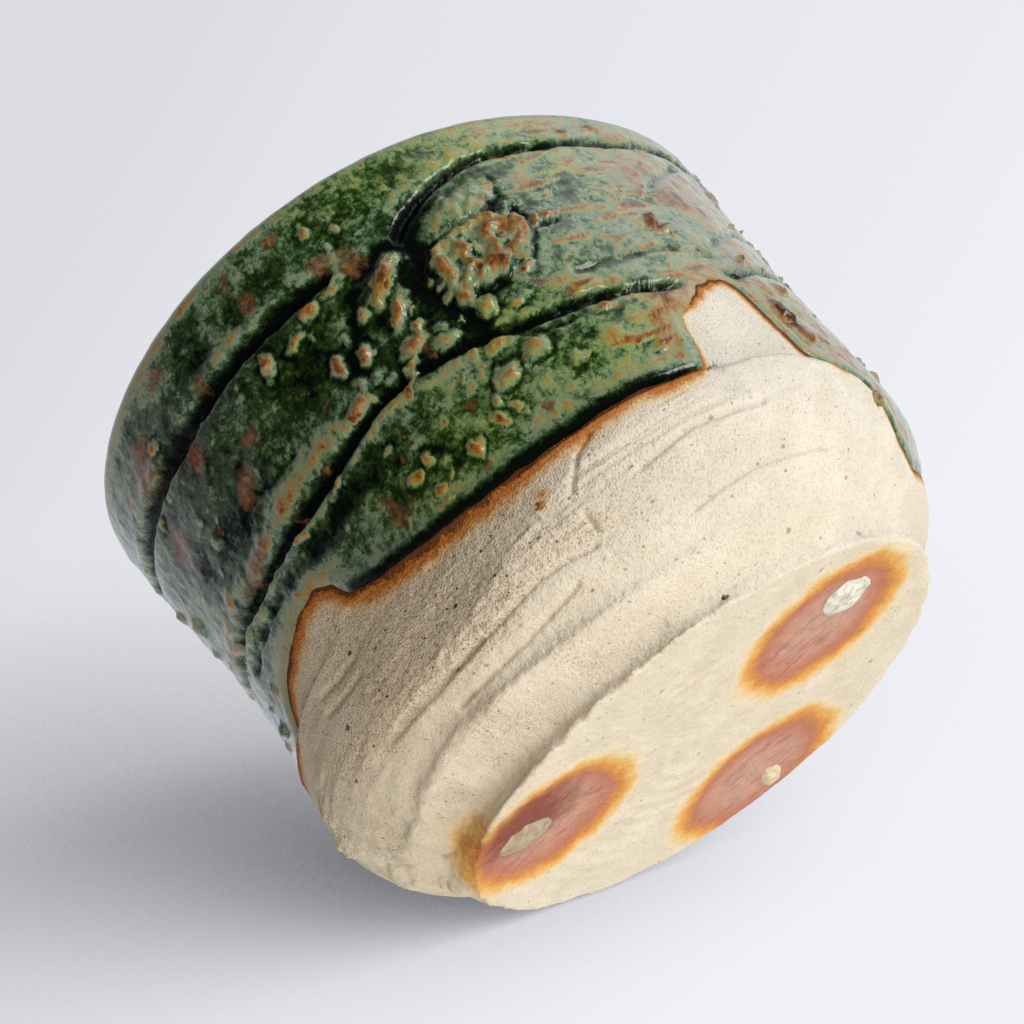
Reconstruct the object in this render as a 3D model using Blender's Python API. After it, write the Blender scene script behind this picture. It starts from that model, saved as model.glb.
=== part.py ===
"""Hand-built stoneware sake cup, in metres, +Z up, origin at the centre of the foot's flat face.

A slab foot carries a pinched clay wall. A thick green coat lies on the wall from an uneven glaze line up and
over the rim, and a second coat lines the inside. Wads that held the cup off the kiln shelf left three scars
with crusts under the foot, and a few stones of the clay show at its surface.
Angles are measured round +Z from +X.
"""

from math import cos, exp, pi, radians, sin, sqrt

import bmesh
import bpy
from mathutils import Vector

# Driving dimensions of the form
CUP_HEIGHT = 0.0529
FOOT_RADIUS = 0.0250
BELLY_RADIUS = 0.0341
BELLY_HEIGHT = 0.0155
RIM_RADIUS = 0.0345
RIM_THICKNESS = 0.0042
RIM_ROUND = 0.0013
SLAB_THICKNESS = 0.0046

# Coats and the clearance between pieces
COAT_THICKNESS = 0.0007
COAT_ROLL = 0.0005
COAT_ROLL_HEIGHT = 0.0018
COAT_LAP = 0.0016
POOL_DEPTH = 0.0013
POOL_FILLET = 0.0035
SEAT_GAP = 0.0003

# Hand-made unevenness: how far the form swells, and the angle that it swells towards
FOOT_OVAL, FOOT_OVAL_TURN = 0.0010, radians(34)
FOOT_LOBE, FOOT_LOBE_TURN = 0.0005, radians(85)
BODY_LOBE, BODY_LOBE_TURN = 0.0012, radians(61)
RIM_OVAL, RIM_OVAL_TURN = 0.0015, radians(43)
RIM_LOBE, RIM_LOBE_TURN = 0.0010, radians(37)
RIM_RISE, RIM_RISE_TURN = 0.0016, radians(202)
BODY_SHARE = 0.45

# Waist pressed into one side of the wall: depth, angle and spread, and its place and reach as shares of the height
WAIST_DEPTH, WAIST_TURN, WAIST_SPREAD = 0.0022, radians(188), radians(38)
WAIST_SHARE, WAIST_REACH = 0.55, 0.285

# Tool work: gouges through coat and clay, dragged clay below the coat, and the torn edge of the foot
GOUGE_WIDTH = 0.0026
GOUGE_DEPTH = 0.0009
GOUGE_LIP = 0.0003
DRAG_RIDGE = 0.0003
DRAG_HOLLOW = 0.0004
FOOT_BURR = 0.0004
JOINT_GROOVE = 0.0010
DRAG_ROWS = ((0, 0), (0.35, 0), (0.6, DRAG_RIDGE), (0.8, -DRAG_HOLLOW))
FOOT_ROWS = ((0, 0), (0.15, FOOT_BURR), (0.5, -JOINT_GROOVE), (0.8, -FOOT_BURR), (1, 0))

# Torn scab of coat and clay on the front
SCAB_TURN, SCAB_HEIGHT = radians(289), 0.0395
SCAB_HALF_WIDTH = 0.0062
SCAB_HALF_HEIGHT = 0.0055
SCAB_RISE = 0.0009

# Lower edge of the outside coat, as angle in degrees and share of the cup's height
GLAZE_LINE = (
    (0, 0.150), (20, 0.190), (50, 0.267), (85, 0.324), (120, 0.295), (150, 0.333), (180, 0.377), (204, 0.390),
    (210, 0.457), (230, 0.490), (235, 0.472), (239, 0.423), (250, 0.377), (270, 0.345), (292, 0.337), (303, 0.320),
    (311, 0.457), (316, 0.480), (322, 0.295), (332, 0.257), (340, 0.225), (348, 0.160),
)
# Gouge round the middle, as angle in degrees and share of the cup's height
MIDDLE_GOUGE = (
    (0, 0.552), (40, 0.571), (90, 0.610), (140, 0.590), (180, 0.581), (212, 0.600), (240, 0.570), (266, 0.606),
    (288, 0.540), (305, 0.541), (316, 0.568), (335, 0.541),
)
# Gouge under the rim, as angle in degrees and drop below the rim
UPPER_GOUGE = (
    (0, 0.0052), (40, 0.0060), (90, 0.0075), (140, 0.0070), (180, 0.0076), (215, 0.0083), (268, 0.0089),
    (275, 0.0096), (285, 0.0072), (298, 0.0052), (320, 0.0052), (340, 0.0050),
)

# Scars of the firing wads under the foot: angle and distance in from the foot's edge
WAD_RADIUS = 0.0088
WAD_DEPTH = 0.0011
WAD_PLACES = ((radians(-14), 0.0106), (radians(87), 0.0070), (radians(206), 0.0067))
# Crust left in each scar: its place from the scar's centre, and its half sizes
CRUST_PLACES = ((0.0032, -0.0013), (0.0005, 0.0025), (-0.0007, -0.0012))
CRUST_SIZES = ((0.0026, 0.0034), (0.0016, 0.0024), (0.0034, 0.0028))
CRUST_EDGE = 0.0001

# Stones of the clay that show at the surface: one in the foot's side, and two in the wall under the coat
STONE_BURIED = 0.6
FOOT_STONE_TURN, FOOT_STONE_HEIGHT, FOOT_STONE_RADIUS = radians(289), 0.0014, 0.0008
SIDE_STONE_TURN, SIDE_STONE_DROP, SIDE_STONE_RADIUS = radians(339), 0.0021, 0.0013
FRONT_STONE_TURN, FRONT_STONE_DROP, FRONT_STONE_RADIUS = radians(271), 0.0045, 0.0011

# Roughness of stones and crusts: how far their points are pushed, and how often
ROUGH_PUSH = 0.08
ROUGH_WAVES = 5

# Mesh fineness
COLUMNS = 56
BAND_ROWS = 3
INSIDE_ROWS = 6
SCAR_SEGMENTS = 28
SCAR_RINGS = 8
LUMP_SUBDIVISIONS = 2
SHARP_EDGE = radians(50)

# Colours and roughness
CLAY_COLOUR, CLAY_ROUGHNESS = (0.72, 0.62, 0.45), 0.85
COAT_COLOUR, COAT_ROUGHNESS = (0.10, 0.17, 0.09), 0.18
LINER_COLOUR, LINER_ROUGHNESS = (0.13, 0.21, 0.11), 0.15
CRUST_COLOUR, CRUST_ROUGHNESS = (0.78, 0.74, 0.66), 0.9
STONE_COLOUR, STONE_ROUGHNESS = (0.33, 0.21, 0.10), 0.6

SEAM = SLAB_THICKNESS + SEAT_GAP
CLAY_INSET = COAT_THICKNESS + SEAT_GAP
FLOOR = SEAM + POOL_DEPTH


def along(line, angle):
    """Value at an angle of a line of (degrees, value) points that closes on itself, eased from point to point."""
    turn = (angle * 180 / pi) % 360
    points = [*line, (line[0][0] + 360, line[0][1])]
    for (low, start), (high, end) in zip(points, points[1:]):
        if low <= turn <= high:
            share = (turn - low) / (high - low)
            return start + (end - start) * (1 - cos(pi * share)) / 2
    return line[0][1]


def rim_height(angle):
    return CUP_HEIGHT + RIM_RISE * cos(angle - RIM_RISE_TURN)


def glaze_line(angle):
    return CUP_HEIGHT * along(GLAZE_LINE, angle)


def middle_gouge(angle):
    return CUP_HEIGHT * along(MIDDLE_GOUGE, angle)


def upper_gouge(angle):
    return rim_height(angle) - along(UPPER_GOUGE, angle)


def waist(angle, height):
    """How far the wall is pressed in at a place."""
    turn = (angle - WAIST_TURN + pi) % (2 * pi) - pi
    up = (height / CUP_HEIGHT - WAIST_SHARE) / WAIST_REACH
    return WAIST_DEPTH * exp(-((turn / WAIST_SPREAD) ** 2) - up * up)


def outside_radius(angle, height):
    """The cup's smooth outside: a quarter wave from foot to belly, then nearly straight to the rim."""
    if height < BELLY_HEIGHT:
        turned = FOOT_RADIUS + (BELLY_RADIUS - FOOT_RADIUS) * sin(pi / 2 * height / BELLY_HEIGHT)
    else:
        rise = (height - BELLY_HEIGHT) / (CUP_HEIGHT - BELLY_HEIGHT)
        turned = BELLY_RADIUS + (RIM_RADIUS - BELLY_RADIUS) * rise
    foot = FOOT_OVAL * cos(2 * (angle - FOOT_OVAL_TURN)) + FOOT_LOBE * cos(3 * (angle - FOOT_LOBE_TURN))
    body = BODY_LOBE * cos(3 * (angle - BODY_LOBE_TURN))
    rim = RIM_OVAL * cos(2 * (angle - RIM_OVAL_TURN)) + RIM_LOBE * cos(3 * (angle - RIM_LOBE_TURN))
    share = height / rim_height(angle)
    turned -= waist(angle, height)
    if share < BODY_SHARE:
        return turned + foot + (body - foot) * share / BODY_SHARE
    return turned + body + (rim - body) * (share - BODY_SHARE) / (1 - BODY_SHARE)


def scab(angle, height):
    """How far the torn scab stands out at a place on the wall."""
    turn = (angle - SCAB_TURN + pi) % (2 * pi) - pi
    across = turn * RIM_RADIUS / SCAB_HALF_WIDTH
    up = (height - SCAB_HEIGHT) / SCAB_HALF_HEIGHT
    return SCAB_RISE * max(0, 1 - across * across - up * up)


def coat_rows(angle):
    """Heights and relief of the coated wall's rows at an angle, from above the glaze line to below the rim."""
    half = GOUGE_WIDTH / 2
    rows = [(glaze_line(angle) + COAT_ROLL_HEIGHT, 0)]
    for gouge in (middle_gouge(angle), upper_gouge(angle)):
        low = rows[-1][0]
        high = gouge - half
        for row in range(1, BAND_ROWS):
            rows.append((low + (high - low) * row / BAND_ROWS, 0))
        rows += [(high, 0), (gouge, -GOUGE_DEPTH), (gouge + half, GOUGE_LIP)]
    return [(height, relief + scab(angle, height)) for height, relief in rows]


def rim_arc(angle, inset):
    """The rounded rim from its outside to its inside, as radius and height, set in from the cup's surface."""
    top = rim_height(angle) - inset
    outer = outside_radius(angle, top) - inset
    inner = outer - RIM_THICKNESS + 2 * inset
    middle = (outer + inner) / 2
    drop = RIM_ROUND / 2
    shoulder = (outer - inner) / 8
    return [
        (outer, top - RIM_ROUND),
        (outer - shoulder, top - drop / 2),
        (middle, top),
        (inner + shoulder, top - drop / 2),
        (inner, top - RIM_ROUND),
    ]


def ring_profile_wall(angle):
    """Section of the clay wall: up the outside, over the rim, down the inside to the seam with the foot."""
    shelf = glaze_line(angle) - SEAT_GAP
    section = []
    for share, relief in DRAG_ROWS:
        height = SEAM + (shelf - SEAM) * share
        section.append((outside_radius(angle, height) + relief, height))
    section.append((outside_radius(angle, shelf), shelf))
    section.append((outside_radius(angle, shelf) - CLAY_INSET, shelf))
    for height, relief in coat_rows(angle):
        section.append((outside_radius(angle, height) + relief - CLAY_INSET, height))
    section += rim_arc(angle, CLAY_INSET)
    inset = RIM_THICKNESS - CLAY_INSET
    top = section[-1][1]
    for row in range(1, INSIDE_ROWS + 1):
        height = top + (SEAM - top) * row / INSIDE_ROWS
        section.append((outside_radius(angle, height) - inset, height))
    return section


def ring_profile_coat(angle):
    """Section of the outside coat: its rolled lower edge, its face, the lap over the rim and back down the clay."""
    edge = glaze_line(angle)
    face = [(outside_radius(angle, edge), edge)]
    crown = edge + COAT_ROLL_HEIGHT / 2
    face.append((outside_radius(angle, crown) + COAT_ROLL, crown))
    back = []
    for height, relief in coat_rows(angle):
        radius = outside_radius(angle, height) + relief
        face.append((radius, height))
        back.append((radius - COAT_THICKNESS, height))
    lap = rim_height(angle) - RIM_ROUND - COAT_LAP
    lap_radius = outside_radius(angle, lap) - RIM_THICKNESS
    face += rim_arc(angle, 0)
    face.append((lap_radius, lap))
    face.append((lap_radius + COAT_THICKNESS, lap))
    face += reversed(rim_arc(angle, COAT_THICKNESS))
    face += reversed(back)
    face.append((outside_radius(angle, edge) - COAT_THICKNESS, edge))
    return face


def ring_profile_liner(angle):
    """Section of the inside coat from under its pool, up against the clay, and down its free face."""
    top = rim_height(angle) - RIM_ROUND - COAT_LAP - SEAT_GAP
    inset = RIM_THICKNESS - COAT_THICKNESS
    outer = []
    inner = []
    for row in range(INSIDE_ROWS + 1):
        height = SEAM + (top - SEAM) * row / INSIDE_ROWS
        outer.append((outside_radius(angle, height) - inset, height))
        above = FLOOR + POOL_FILLET
        height = above + (top - above) * row / INSIDE_ROWS
        inner.append((outside_radius(angle, height) - RIM_THICKNESS, height))
    wall_foot = outside_radius(angle, FLOOR) - RIM_THICKNESS
    corner = POOL_FILLET / 4
    fillet = [(wall_foot - corner, FLOOR + corner), (wall_foot - POOL_FILLET, FLOOR)]
    return outer + list(reversed(inner)) + fillet


def ring_profile_foot(angle):
    """Side of the foot slab from its torn lower edge up to the seam."""
    section = []
    for share, relief in FOOT_ROWS:
        height = SLAB_THICKNESS * share
        section.append((outside_radius(angle, height) + relief, height))
    return section


def clay_material(name, colour, roughness):
    made = bpy.data.materials.new(name)
    made.use_nodes = True
    shader = made.node_tree.nodes["Principled BSDF"]
    shader.inputs["Base Color"].default_value = (*colour, 1)
    shader.inputs["Roughness"].default_value = roughness
    shader.inputs["Metallic"].default_value = 0
    return made


def add_piece(name, mesh_maker, colour, roughness):
    """Makes a named object from a bmesh, with outward faces, smooth shading and its own material."""
    bmesh.ops.recalc_face_normals(mesh_maker, faces=mesh_maker.faces)
    mesh = bpy.data.meshes.new(name)
    mesh_maker.to_mesh(mesh)
    mesh_maker.free()
    mesh.shade_smooth()
    mesh.set_sharp_from_angle(angle=SHARP_EDGE)
    mesh.materials.append(clay_material(name, colour, roughness))
    piece = bpy.data.objects.new(name, mesh)
    bpy.context.scene.collection.objects.link(piece)
    return piece


def loft(section_at, closed):
    """Sweeps a section that changes with the angle once round +Z. An open section gets a flat face at each end.
    Each patch is split from its lower corner to its upper far corner, so a coat and the clay under it run alike."""
    maker = bmesh.new()
    columns = []
    for column in range(COLUMNS):
        angle = 2 * pi * column / COLUMNS
        columns.append([maker.verts.new((r * cos(angle), r * sin(angle), z)) for r, z in section_at(angle)])
    rows = len(columns[0])
    for here, there in zip(columns, columns[1:] + columns[:1]):
        for row in range(rows if closed else rows - 1):
            low, high = sorted((row, (row + 1) % rows), key=lambda index: here[index].co.z)
            maker.faces.new((here[low], there[low], there[high]))
            maker.faces.new((here[low], there[high], here[high]))
    if not closed:
        for row in (0, rows - 1):
            maker.faces.new([column[row] for column in columns])
    return maker


def lump(place, sizes):
    """A rough stone or crust: an icosphere of three half sizes whose points are pushed in and out."""
    maker = bmesh.new()
    bmesh.ops.create_icosphere(maker, subdivisions=LUMP_SUBDIVISIONS, radius=1)
    for vert in maker.verts:
        rough = 1 + ROUGH_PUSH * sin(ROUGH_WAVES * (vert.co.x + vert.co.z)) * cos(ROUGH_WAVES * vert.co.y)
        vert.co = Vector(place) + Vector(size * rough * axis for size, axis in zip(sizes, vert.co))
    return maker


def cut(piece, cutter):
    """Takes the cutter out of the piece and keeps it as a guide that isn't part of the cup."""
    cutter.hide_render = True
    cutter.display_type = "WIRE"
    modifier = piece.modifiers.new(cutter.name, "BOOLEAN")
    modifier.operation = "DIFFERENCE"
    modifier.solver = "EXACT"
    modifier.object = cutter


def scar_roof(scar, point):
    """Height of a wad scar's roof over a point of the foot, given the scar's centre."""
    away = (Vector(point) - scar).length / WAD_RADIUS
    return WAD_DEPTH * sqrt(max(0, 1 - away * away))


def wad_scar(number, foot):
    """Cuts the shallow dish of one wad into the foot and lays the crust that stayed in it."""
    turn, inset = WAD_PLACES[number]
    scar = Vector((cos(turn), sin(turn))) * (FOOT_RADIUS - inset)
    maker = bmesh.new()
    bmesh.ops.create_uvsphere(maker, u_segments=SCAR_SEGMENTS, v_segments=SCAR_RINGS, radius=1)
    for vert in maker.verts:
        across = scar + WAD_RADIUS * vert.co.xy
        vert.co = (*across, WAD_DEPTH * vert.co.z - CRUST_EDGE / 2)
    cut(foot, add_piece(f"scar_cutter_{number + 1}", maker, CLAY_COLOUR, CLAY_ROUGHNESS))

    wide, long = CRUST_SIZES[number]
    maker = lump((*(scar + Vector(CRUST_PLACES[number])), 0), (wide, long, 1))
    for vert in maker.verts:
        thickness = scar_roof(scar, vert.co.xy) - SEAT_GAP - 2 * CRUST_EDGE
        vert.co.z = CRUST_EDGE + thickness * (1 + max(-1, min(1, vert.co.z))) / 2
    add_piece(f"wad_crust_{number + 1}", maker, CRUST_COLOUR, CRUST_ROUGHNESS)


def bedded_stone(name, bed, turn, height, radius):
    """Sinks one stone into its bed of clay, in a pocket that is larger by the gap."""
    away = outside_radius(turn, height) - radius * STONE_BURIED
    place = (away * cos(turn), away * sin(turn), height)
    pocket = add_piece(f"{name}_pocket", lump(place, (radius + SEAT_GAP,) * 3), CLAY_COLOUR, CLAY_ROUGHNESS)
    cut(bed, pocket)
    add_piece(name, lump(place, (radius,) * 3), STONE_COLOUR, STONE_ROUGHNESS)


for old in list(bpy.data.objects):
    bpy.data.objects.remove(old, do_unlink=True)

base_slab = add_piece("base_slab", loft(ring_profile_foot, closed=False), CLAY_COLOUR, CLAY_ROUGHNESS)
clay_wall = add_piece("clay_wall", loft(ring_profile_wall, closed=True), CLAY_COLOUR, CLAY_ROUGHNESS)
add_piece("outer_glaze", loft(ring_profile_coat, closed=True), COAT_COLOUR, COAT_ROUGHNESS)
add_piece("liner_glaze", loft(ring_profile_liner, closed=False), LINER_COLOUR, LINER_ROUGHNESS)
for wad in range(len(WAD_PLACES)):
    wad_scar(wad, base_slab)
bedded_stone("foot_stone", base_slab, FOOT_STONE_TURN, FOOT_STONE_HEIGHT, FOOT_STONE_RADIUS)
side_stone_height = glaze_line(SIDE_STONE_TURN) - SIDE_STONE_DROP
bedded_stone("side_stone", clay_wall, SIDE_STONE_TURN, side_stone_height, SIDE_STONE_RADIUS)
front_stone_height = glaze_line(FRONT_STONE_TURN) - FRONT_STONE_DROP
bedded_stone("front_stone", clay_wall, FRONT_STONE_TURN, front_stone_height, FRONT_STONE_RADIUS)
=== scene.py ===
"""Looks of a hand-built stoneware sake cup: sandy bare clay, a thick green coat and scorched marks below.

Lengths on the cup are in millimetres, and turns in degrees or radians, until a mesh is made in metres.
"""

from math import cos, pi, radians, sin

import bpy
import numpy as np
from mathutils import Matrix, Vector, noise


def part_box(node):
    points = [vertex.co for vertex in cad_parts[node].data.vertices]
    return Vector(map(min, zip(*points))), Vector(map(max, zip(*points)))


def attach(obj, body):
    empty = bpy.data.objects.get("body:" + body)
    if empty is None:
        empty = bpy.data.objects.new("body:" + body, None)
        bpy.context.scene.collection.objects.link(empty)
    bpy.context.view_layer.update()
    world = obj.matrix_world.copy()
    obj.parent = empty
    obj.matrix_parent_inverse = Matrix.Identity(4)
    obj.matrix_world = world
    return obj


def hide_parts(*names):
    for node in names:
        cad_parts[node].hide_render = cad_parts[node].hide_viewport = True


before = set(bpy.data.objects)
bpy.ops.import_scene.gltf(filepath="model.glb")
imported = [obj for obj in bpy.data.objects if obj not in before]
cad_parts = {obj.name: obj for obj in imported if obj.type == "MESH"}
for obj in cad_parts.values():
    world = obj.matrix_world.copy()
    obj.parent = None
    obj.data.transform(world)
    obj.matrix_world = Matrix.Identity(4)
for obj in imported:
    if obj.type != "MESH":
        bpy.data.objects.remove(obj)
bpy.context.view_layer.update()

# Foot slab
# A disc of coarse sandy stoneware, rolled flat and torn off at its edge. Three wads of clay held it off the
# kiln shelf and left pink scars with orange fringes in its underside.
MM = 0.001
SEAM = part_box("clay_wall")[0].z / MM
CUP_HEIGHT = 52.9
FOOT_RADIUS = 25.0
BELLY_RADIUS, BELLY_HEIGHT = 34.1, 15.5
RIM_RADIUS = 34.5
RIM_RISE, RIM_RISE_TURN = 1.6, radians(202)
BODY_SHARE = 0.45
DEGREE = RIM_RADIUS * pi / 180
# Unevenness of the hand-made form: size, number of waves round the cup, and the degree of the first peak
FOOT_WAVES = ((1.0, 2, 34), (0.5, 3, 85))
BODY_WAVES = ((1.2, 3, 61),)
RIM_WAVES = ((1.5, 2, 43), (1.0, 3, 37))
# Waist pressed into one side of the wall: depth, degrees, spread round the cup in degrees, height and reach
WAIST_DEPTH, WAIST_TURN, WAIST_SPREAD = 2.2, 188, 38
WAIST_HEIGHT, WAIST_REACH = 29.0, 15.0

COLUMNS = 640
FRONT_TURN = radians(275)
FRONT_CROWDING = 0.42
evenly = np.arange(COLUMNS) * 2 * pi / COLUMNS
turns = evenly - FRONT_CROWDING * np.sin(evenly - FRONT_TURN)


def swell(waves, turn):
    return sum(size * np.cos(count * (turn - radians(peak))) for size, count, peak in waves)


def rim_height(turn):
    return CUP_HEIGHT + RIM_RISE * np.cos(turn - RIM_RISE_TURN)


def hump(distance, width):
    return np.exp(-((distance / width) ** 2))


def aside(turn, degrees):
    """How far round the cup each turn is from a degree, from -180 to 180."""
    return (np.degrees(turn) - degrees + 180) % 360 - 180


def outside_radius(turn, height):
    """The cup's smooth outside: a quarter wave from foot to belly, then nearly straight to the rim."""
    low_share = np.clip(height / BELLY_HEIGHT, 0, 1)
    high_share = np.maximum((height - BELLY_HEIGHT) / (CUP_HEIGHT - BELLY_HEIGHT), 0)
    turned = FOOT_RADIUS + (BELLY_RADIUS - FOOT_RADIUS) * np.sin(pi / 2 * low_share)
    turned = turned + (RIM_RADIUS - BELLY_RADIUS) * high_share
    foot, body, rim = (swell(waves, turn) for waves in (FOOT_WAVES, BODY_WAVES, RIM_WAVES))
    share = height / rim_height(turn)
    uneven = foot + (body - foot) * np.clip(share / BODY_SHARE, 0, 1)
    uneven = uneven + (rim - body) * np.maximum((share - BODY_SHARE) / (1 - BODY_SHARE), 0)
    waist = hump(aside(turn, WAIST_TURN), WAIST_SPREAD) * hump(height - WAIST_HEIGHT, WAIST_REACH)
    return turned + uneven - WAIST_DEPTH * waist


def waver(place, size, octaves=3, seed=0.0):
    """Noise of about -1 to 1 at each place. The size of its features in millimetres may differ by axis."""
    scaled = (place / np.array(size) + seed).reshape(-1, 3)
    values = [noise.fractal(spot, 1.0, 2.0, octaves) for spot in scaled.tolist()]
    return np.array(values).reshape(place.shape[:-1])


def ease(value, low, high):
    share = np.clip((value - low) / (high - low), 0, 1)
    return share * share * (3 - 2 * share)


def along(line, turn, corner=1.0):
    """Value at each turn of a closed line of (degrees, value) points, with its corners rounded."""
    places, values = np.array(line, float).T
    steps = (-corner, 0, corner)
    return sum(np.interp(np.degrees(turn) + step, places, values, period=360) for step in steps) / len(steps)


def arc(turn, degrees):
    """Distance in millimetres round the wall from a degree."""
    return aside(turn, degrees) * DEGREE


def beside(turn, degrees, spread):
    """How near each place is to a side of the wall, from 0 to 1, with a spread in millimetres."""
    return hump(arc(turn, degrees), spread)


def stroke(turn, height, points):
    """Distance in millimetres on the wall from a line drawn through (degrees, height) points."""
    nearest = np.full(np.broadcast(turn, height).shape, CUP_HEIGHT)
    for (from_turn, from_height), (to_turn, to_height) in zip(points, points[1:]):
        across = arc(turn, from_turn)
        up = height - from_height
        run = (to_turn - from_turn) * DEGREE
        rise = to_height - from_height
        share = np.clip((across * run + up * rise) / (run * run + rise * rise), 0, 1)
        nearest = np.minimum(nearest, np.hypot(across - share * run, up - share * rise))
    return nearest


def places_at(turn, radius, height):
    return np.stack(np.broadcast_arrays(radius * np.cos(turn), radius * np.sin(turn), height), axis=-1)


def on_wall(turn, height):
    return places_at(turn, RIM_RADIUS, height)


# Where the scraped lower wall ends and the smooth upper wall is set back, as degrees and height
LEDGE = (
    (0, 7.0), (20, 10), (50, 14), (85, 17), (120, 15.5), (150, 17.5), (180, 19.6), (205, 20.2), (213, 20.4),
    (225, 20.4), (236, 21.4), (245, 20.2), (255, 18.9), (265, 18.0), (275, 17.5), (290, 17.2), (300, 16.6),
    (312, 16.0), (321, 15.2), (330, 13.7), (340, 11.5), (346, 7.6), (352, 6.4),
)
LEDGE_STEP = 0.8
SCRAPED_RISE = 0.35
# Groove between slab and wall: its height and its depth, each by degrees
JOINT = (
    (0, 2.5), (40, 2.6), (100, 3.0), (174, 3.9), (205, 3.3), (232, 2.1), (250, 2.0), (290, 1.7), (320, 1.8),
    (345, 2.3),
)
JOINT_DEPTH = (
    (0, 2.1), (40, 1.9), (100, 1.3), (174, 1.6), (205, 1.2), (228, 1.7), (242, 2.6), (264, 2.5), (282, 1.6),
    (302, 1.0), (345, 1.6),
)
JOINT_WIDTH = 1.4
FOOT_LIP = 0.5
# Roll of clay dragged over the joint, as degrees and height, and where it is thickest
FOOT_ROLL = (
    (180, 4.6), (212, 4.9), (236, 5.6), (249, 5.0), (262, 4.4), (275, 4.1), (288, 3.8), (301, 3.5),
    (330, 3.4),
)
ROLL_TURN, ROLL_SPREAD = 252, 22
# Facet left by the scraper in the lower wall: its lower ridge, as degrees and height
FACET_RIDGE = (
    (200, 13.5), (221, 12.6), (228, 12.1), (236, 11.6), (244, 11.0), (254, 11.3), (261, 12.4), (267, 13.2),
    (276, 14.4), (285, 15.4),
)
FACET_TURN, FACET_SPREAD, FACET_DEPTH = 250, 16.0, 1.3
# Strip of torn clay under the facet: its lower edge, as degrees and height
TORN_EDGE = (
    (205, 11.0), (229, 10.1), (236, 9.9), (245, 9.3), (255, 9.2), (264, 9.6), (269, 9.3), (274, 8.8),
    (282, 8.6),
)
TORN_RISE = 0.17
# Scratches and tool marks in the bare clay, each as (degrees, height) points
SCRATCHES = (
    ((221, 18.6), (226, 17.9), (232, 17.8)),
    ((220, 16.9), (226, 16.2), (231, 16.1)),
    ((231, 10.1), (236, 9.9), (245, 9.3), (255, 9.2), (264, 9.6), (269, 9.3), (274, 8.8)),
    ((227, 3.3), (241, 3.0), (249, 2.7), (258, 2.7), (266, 2.4), (276, 2.2)),
    ((240, 4.0), (252, 3.5), (262, 3.4)),
    ((275.5, 9.6), (275.6, 11.2)),
    ((276, 13.2), (280, 15.6), (283, 16.4)),
    ((228, 9.8), (240, 9.2), (251, 9.3)),
    ((290, 6.9), (303, 7.5), (318, 7.2)),
    ((286, 11.5), (296, 12.2), (309, 11.6)),
    ((240, 7.3), (256, 6.9), (268, 7.4)),
    ((304, 16.4), (308, 16.0), (311, 16.0)),
    ((195, 7.6), (199, 5.4), (201, 4.1), (206, 2.8)),
    ((40, 9.0), (70, 9.6), (95, 9.2)),
    ((110, 6.8), (140, 7.4), (165, 7.0)),
    ((150, 12.2), (172, 12.9), (190, 12.3)),
)
SCRATCH_WIDTH, SCRATCH_DEPTH = 0.26, 0.4
# Crumbs along the left of the foot: degrees, spread, height and reach
CRUMBLED_TURN, CRUMBLED_SPREAD, CRUMBLED_HEIGHT, CRUMBLED_REACH = 207, 15, 4.5, 4.0
# Hollow pressed into the lower right wall: depth, degrees, spread, height and reach
PRESSED_DEPTH, PRESSED_TURN, PRESSED_SPREAD, PRESSED_HEIGHT, PRESSED_REACH = 0.7, 0, 15, 9, 4.5
# Side where the clay is gritty in patches, which are also tinted brown as painted shade
GRIT_AND_SHADE_TURN, GRIT_AND_SHADE_SPREAD = 225, 28
# Lumps torn out of the lower wall: degrees, height, half size and rise
TORN_LUMPS = ((195, 10.8, 1.9, 0.8), (189, 4.8, 2.2, 0.9), (191, 2.6, 1.5, 0.7), (200, 13.6, 1.4, 0.5))


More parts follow.
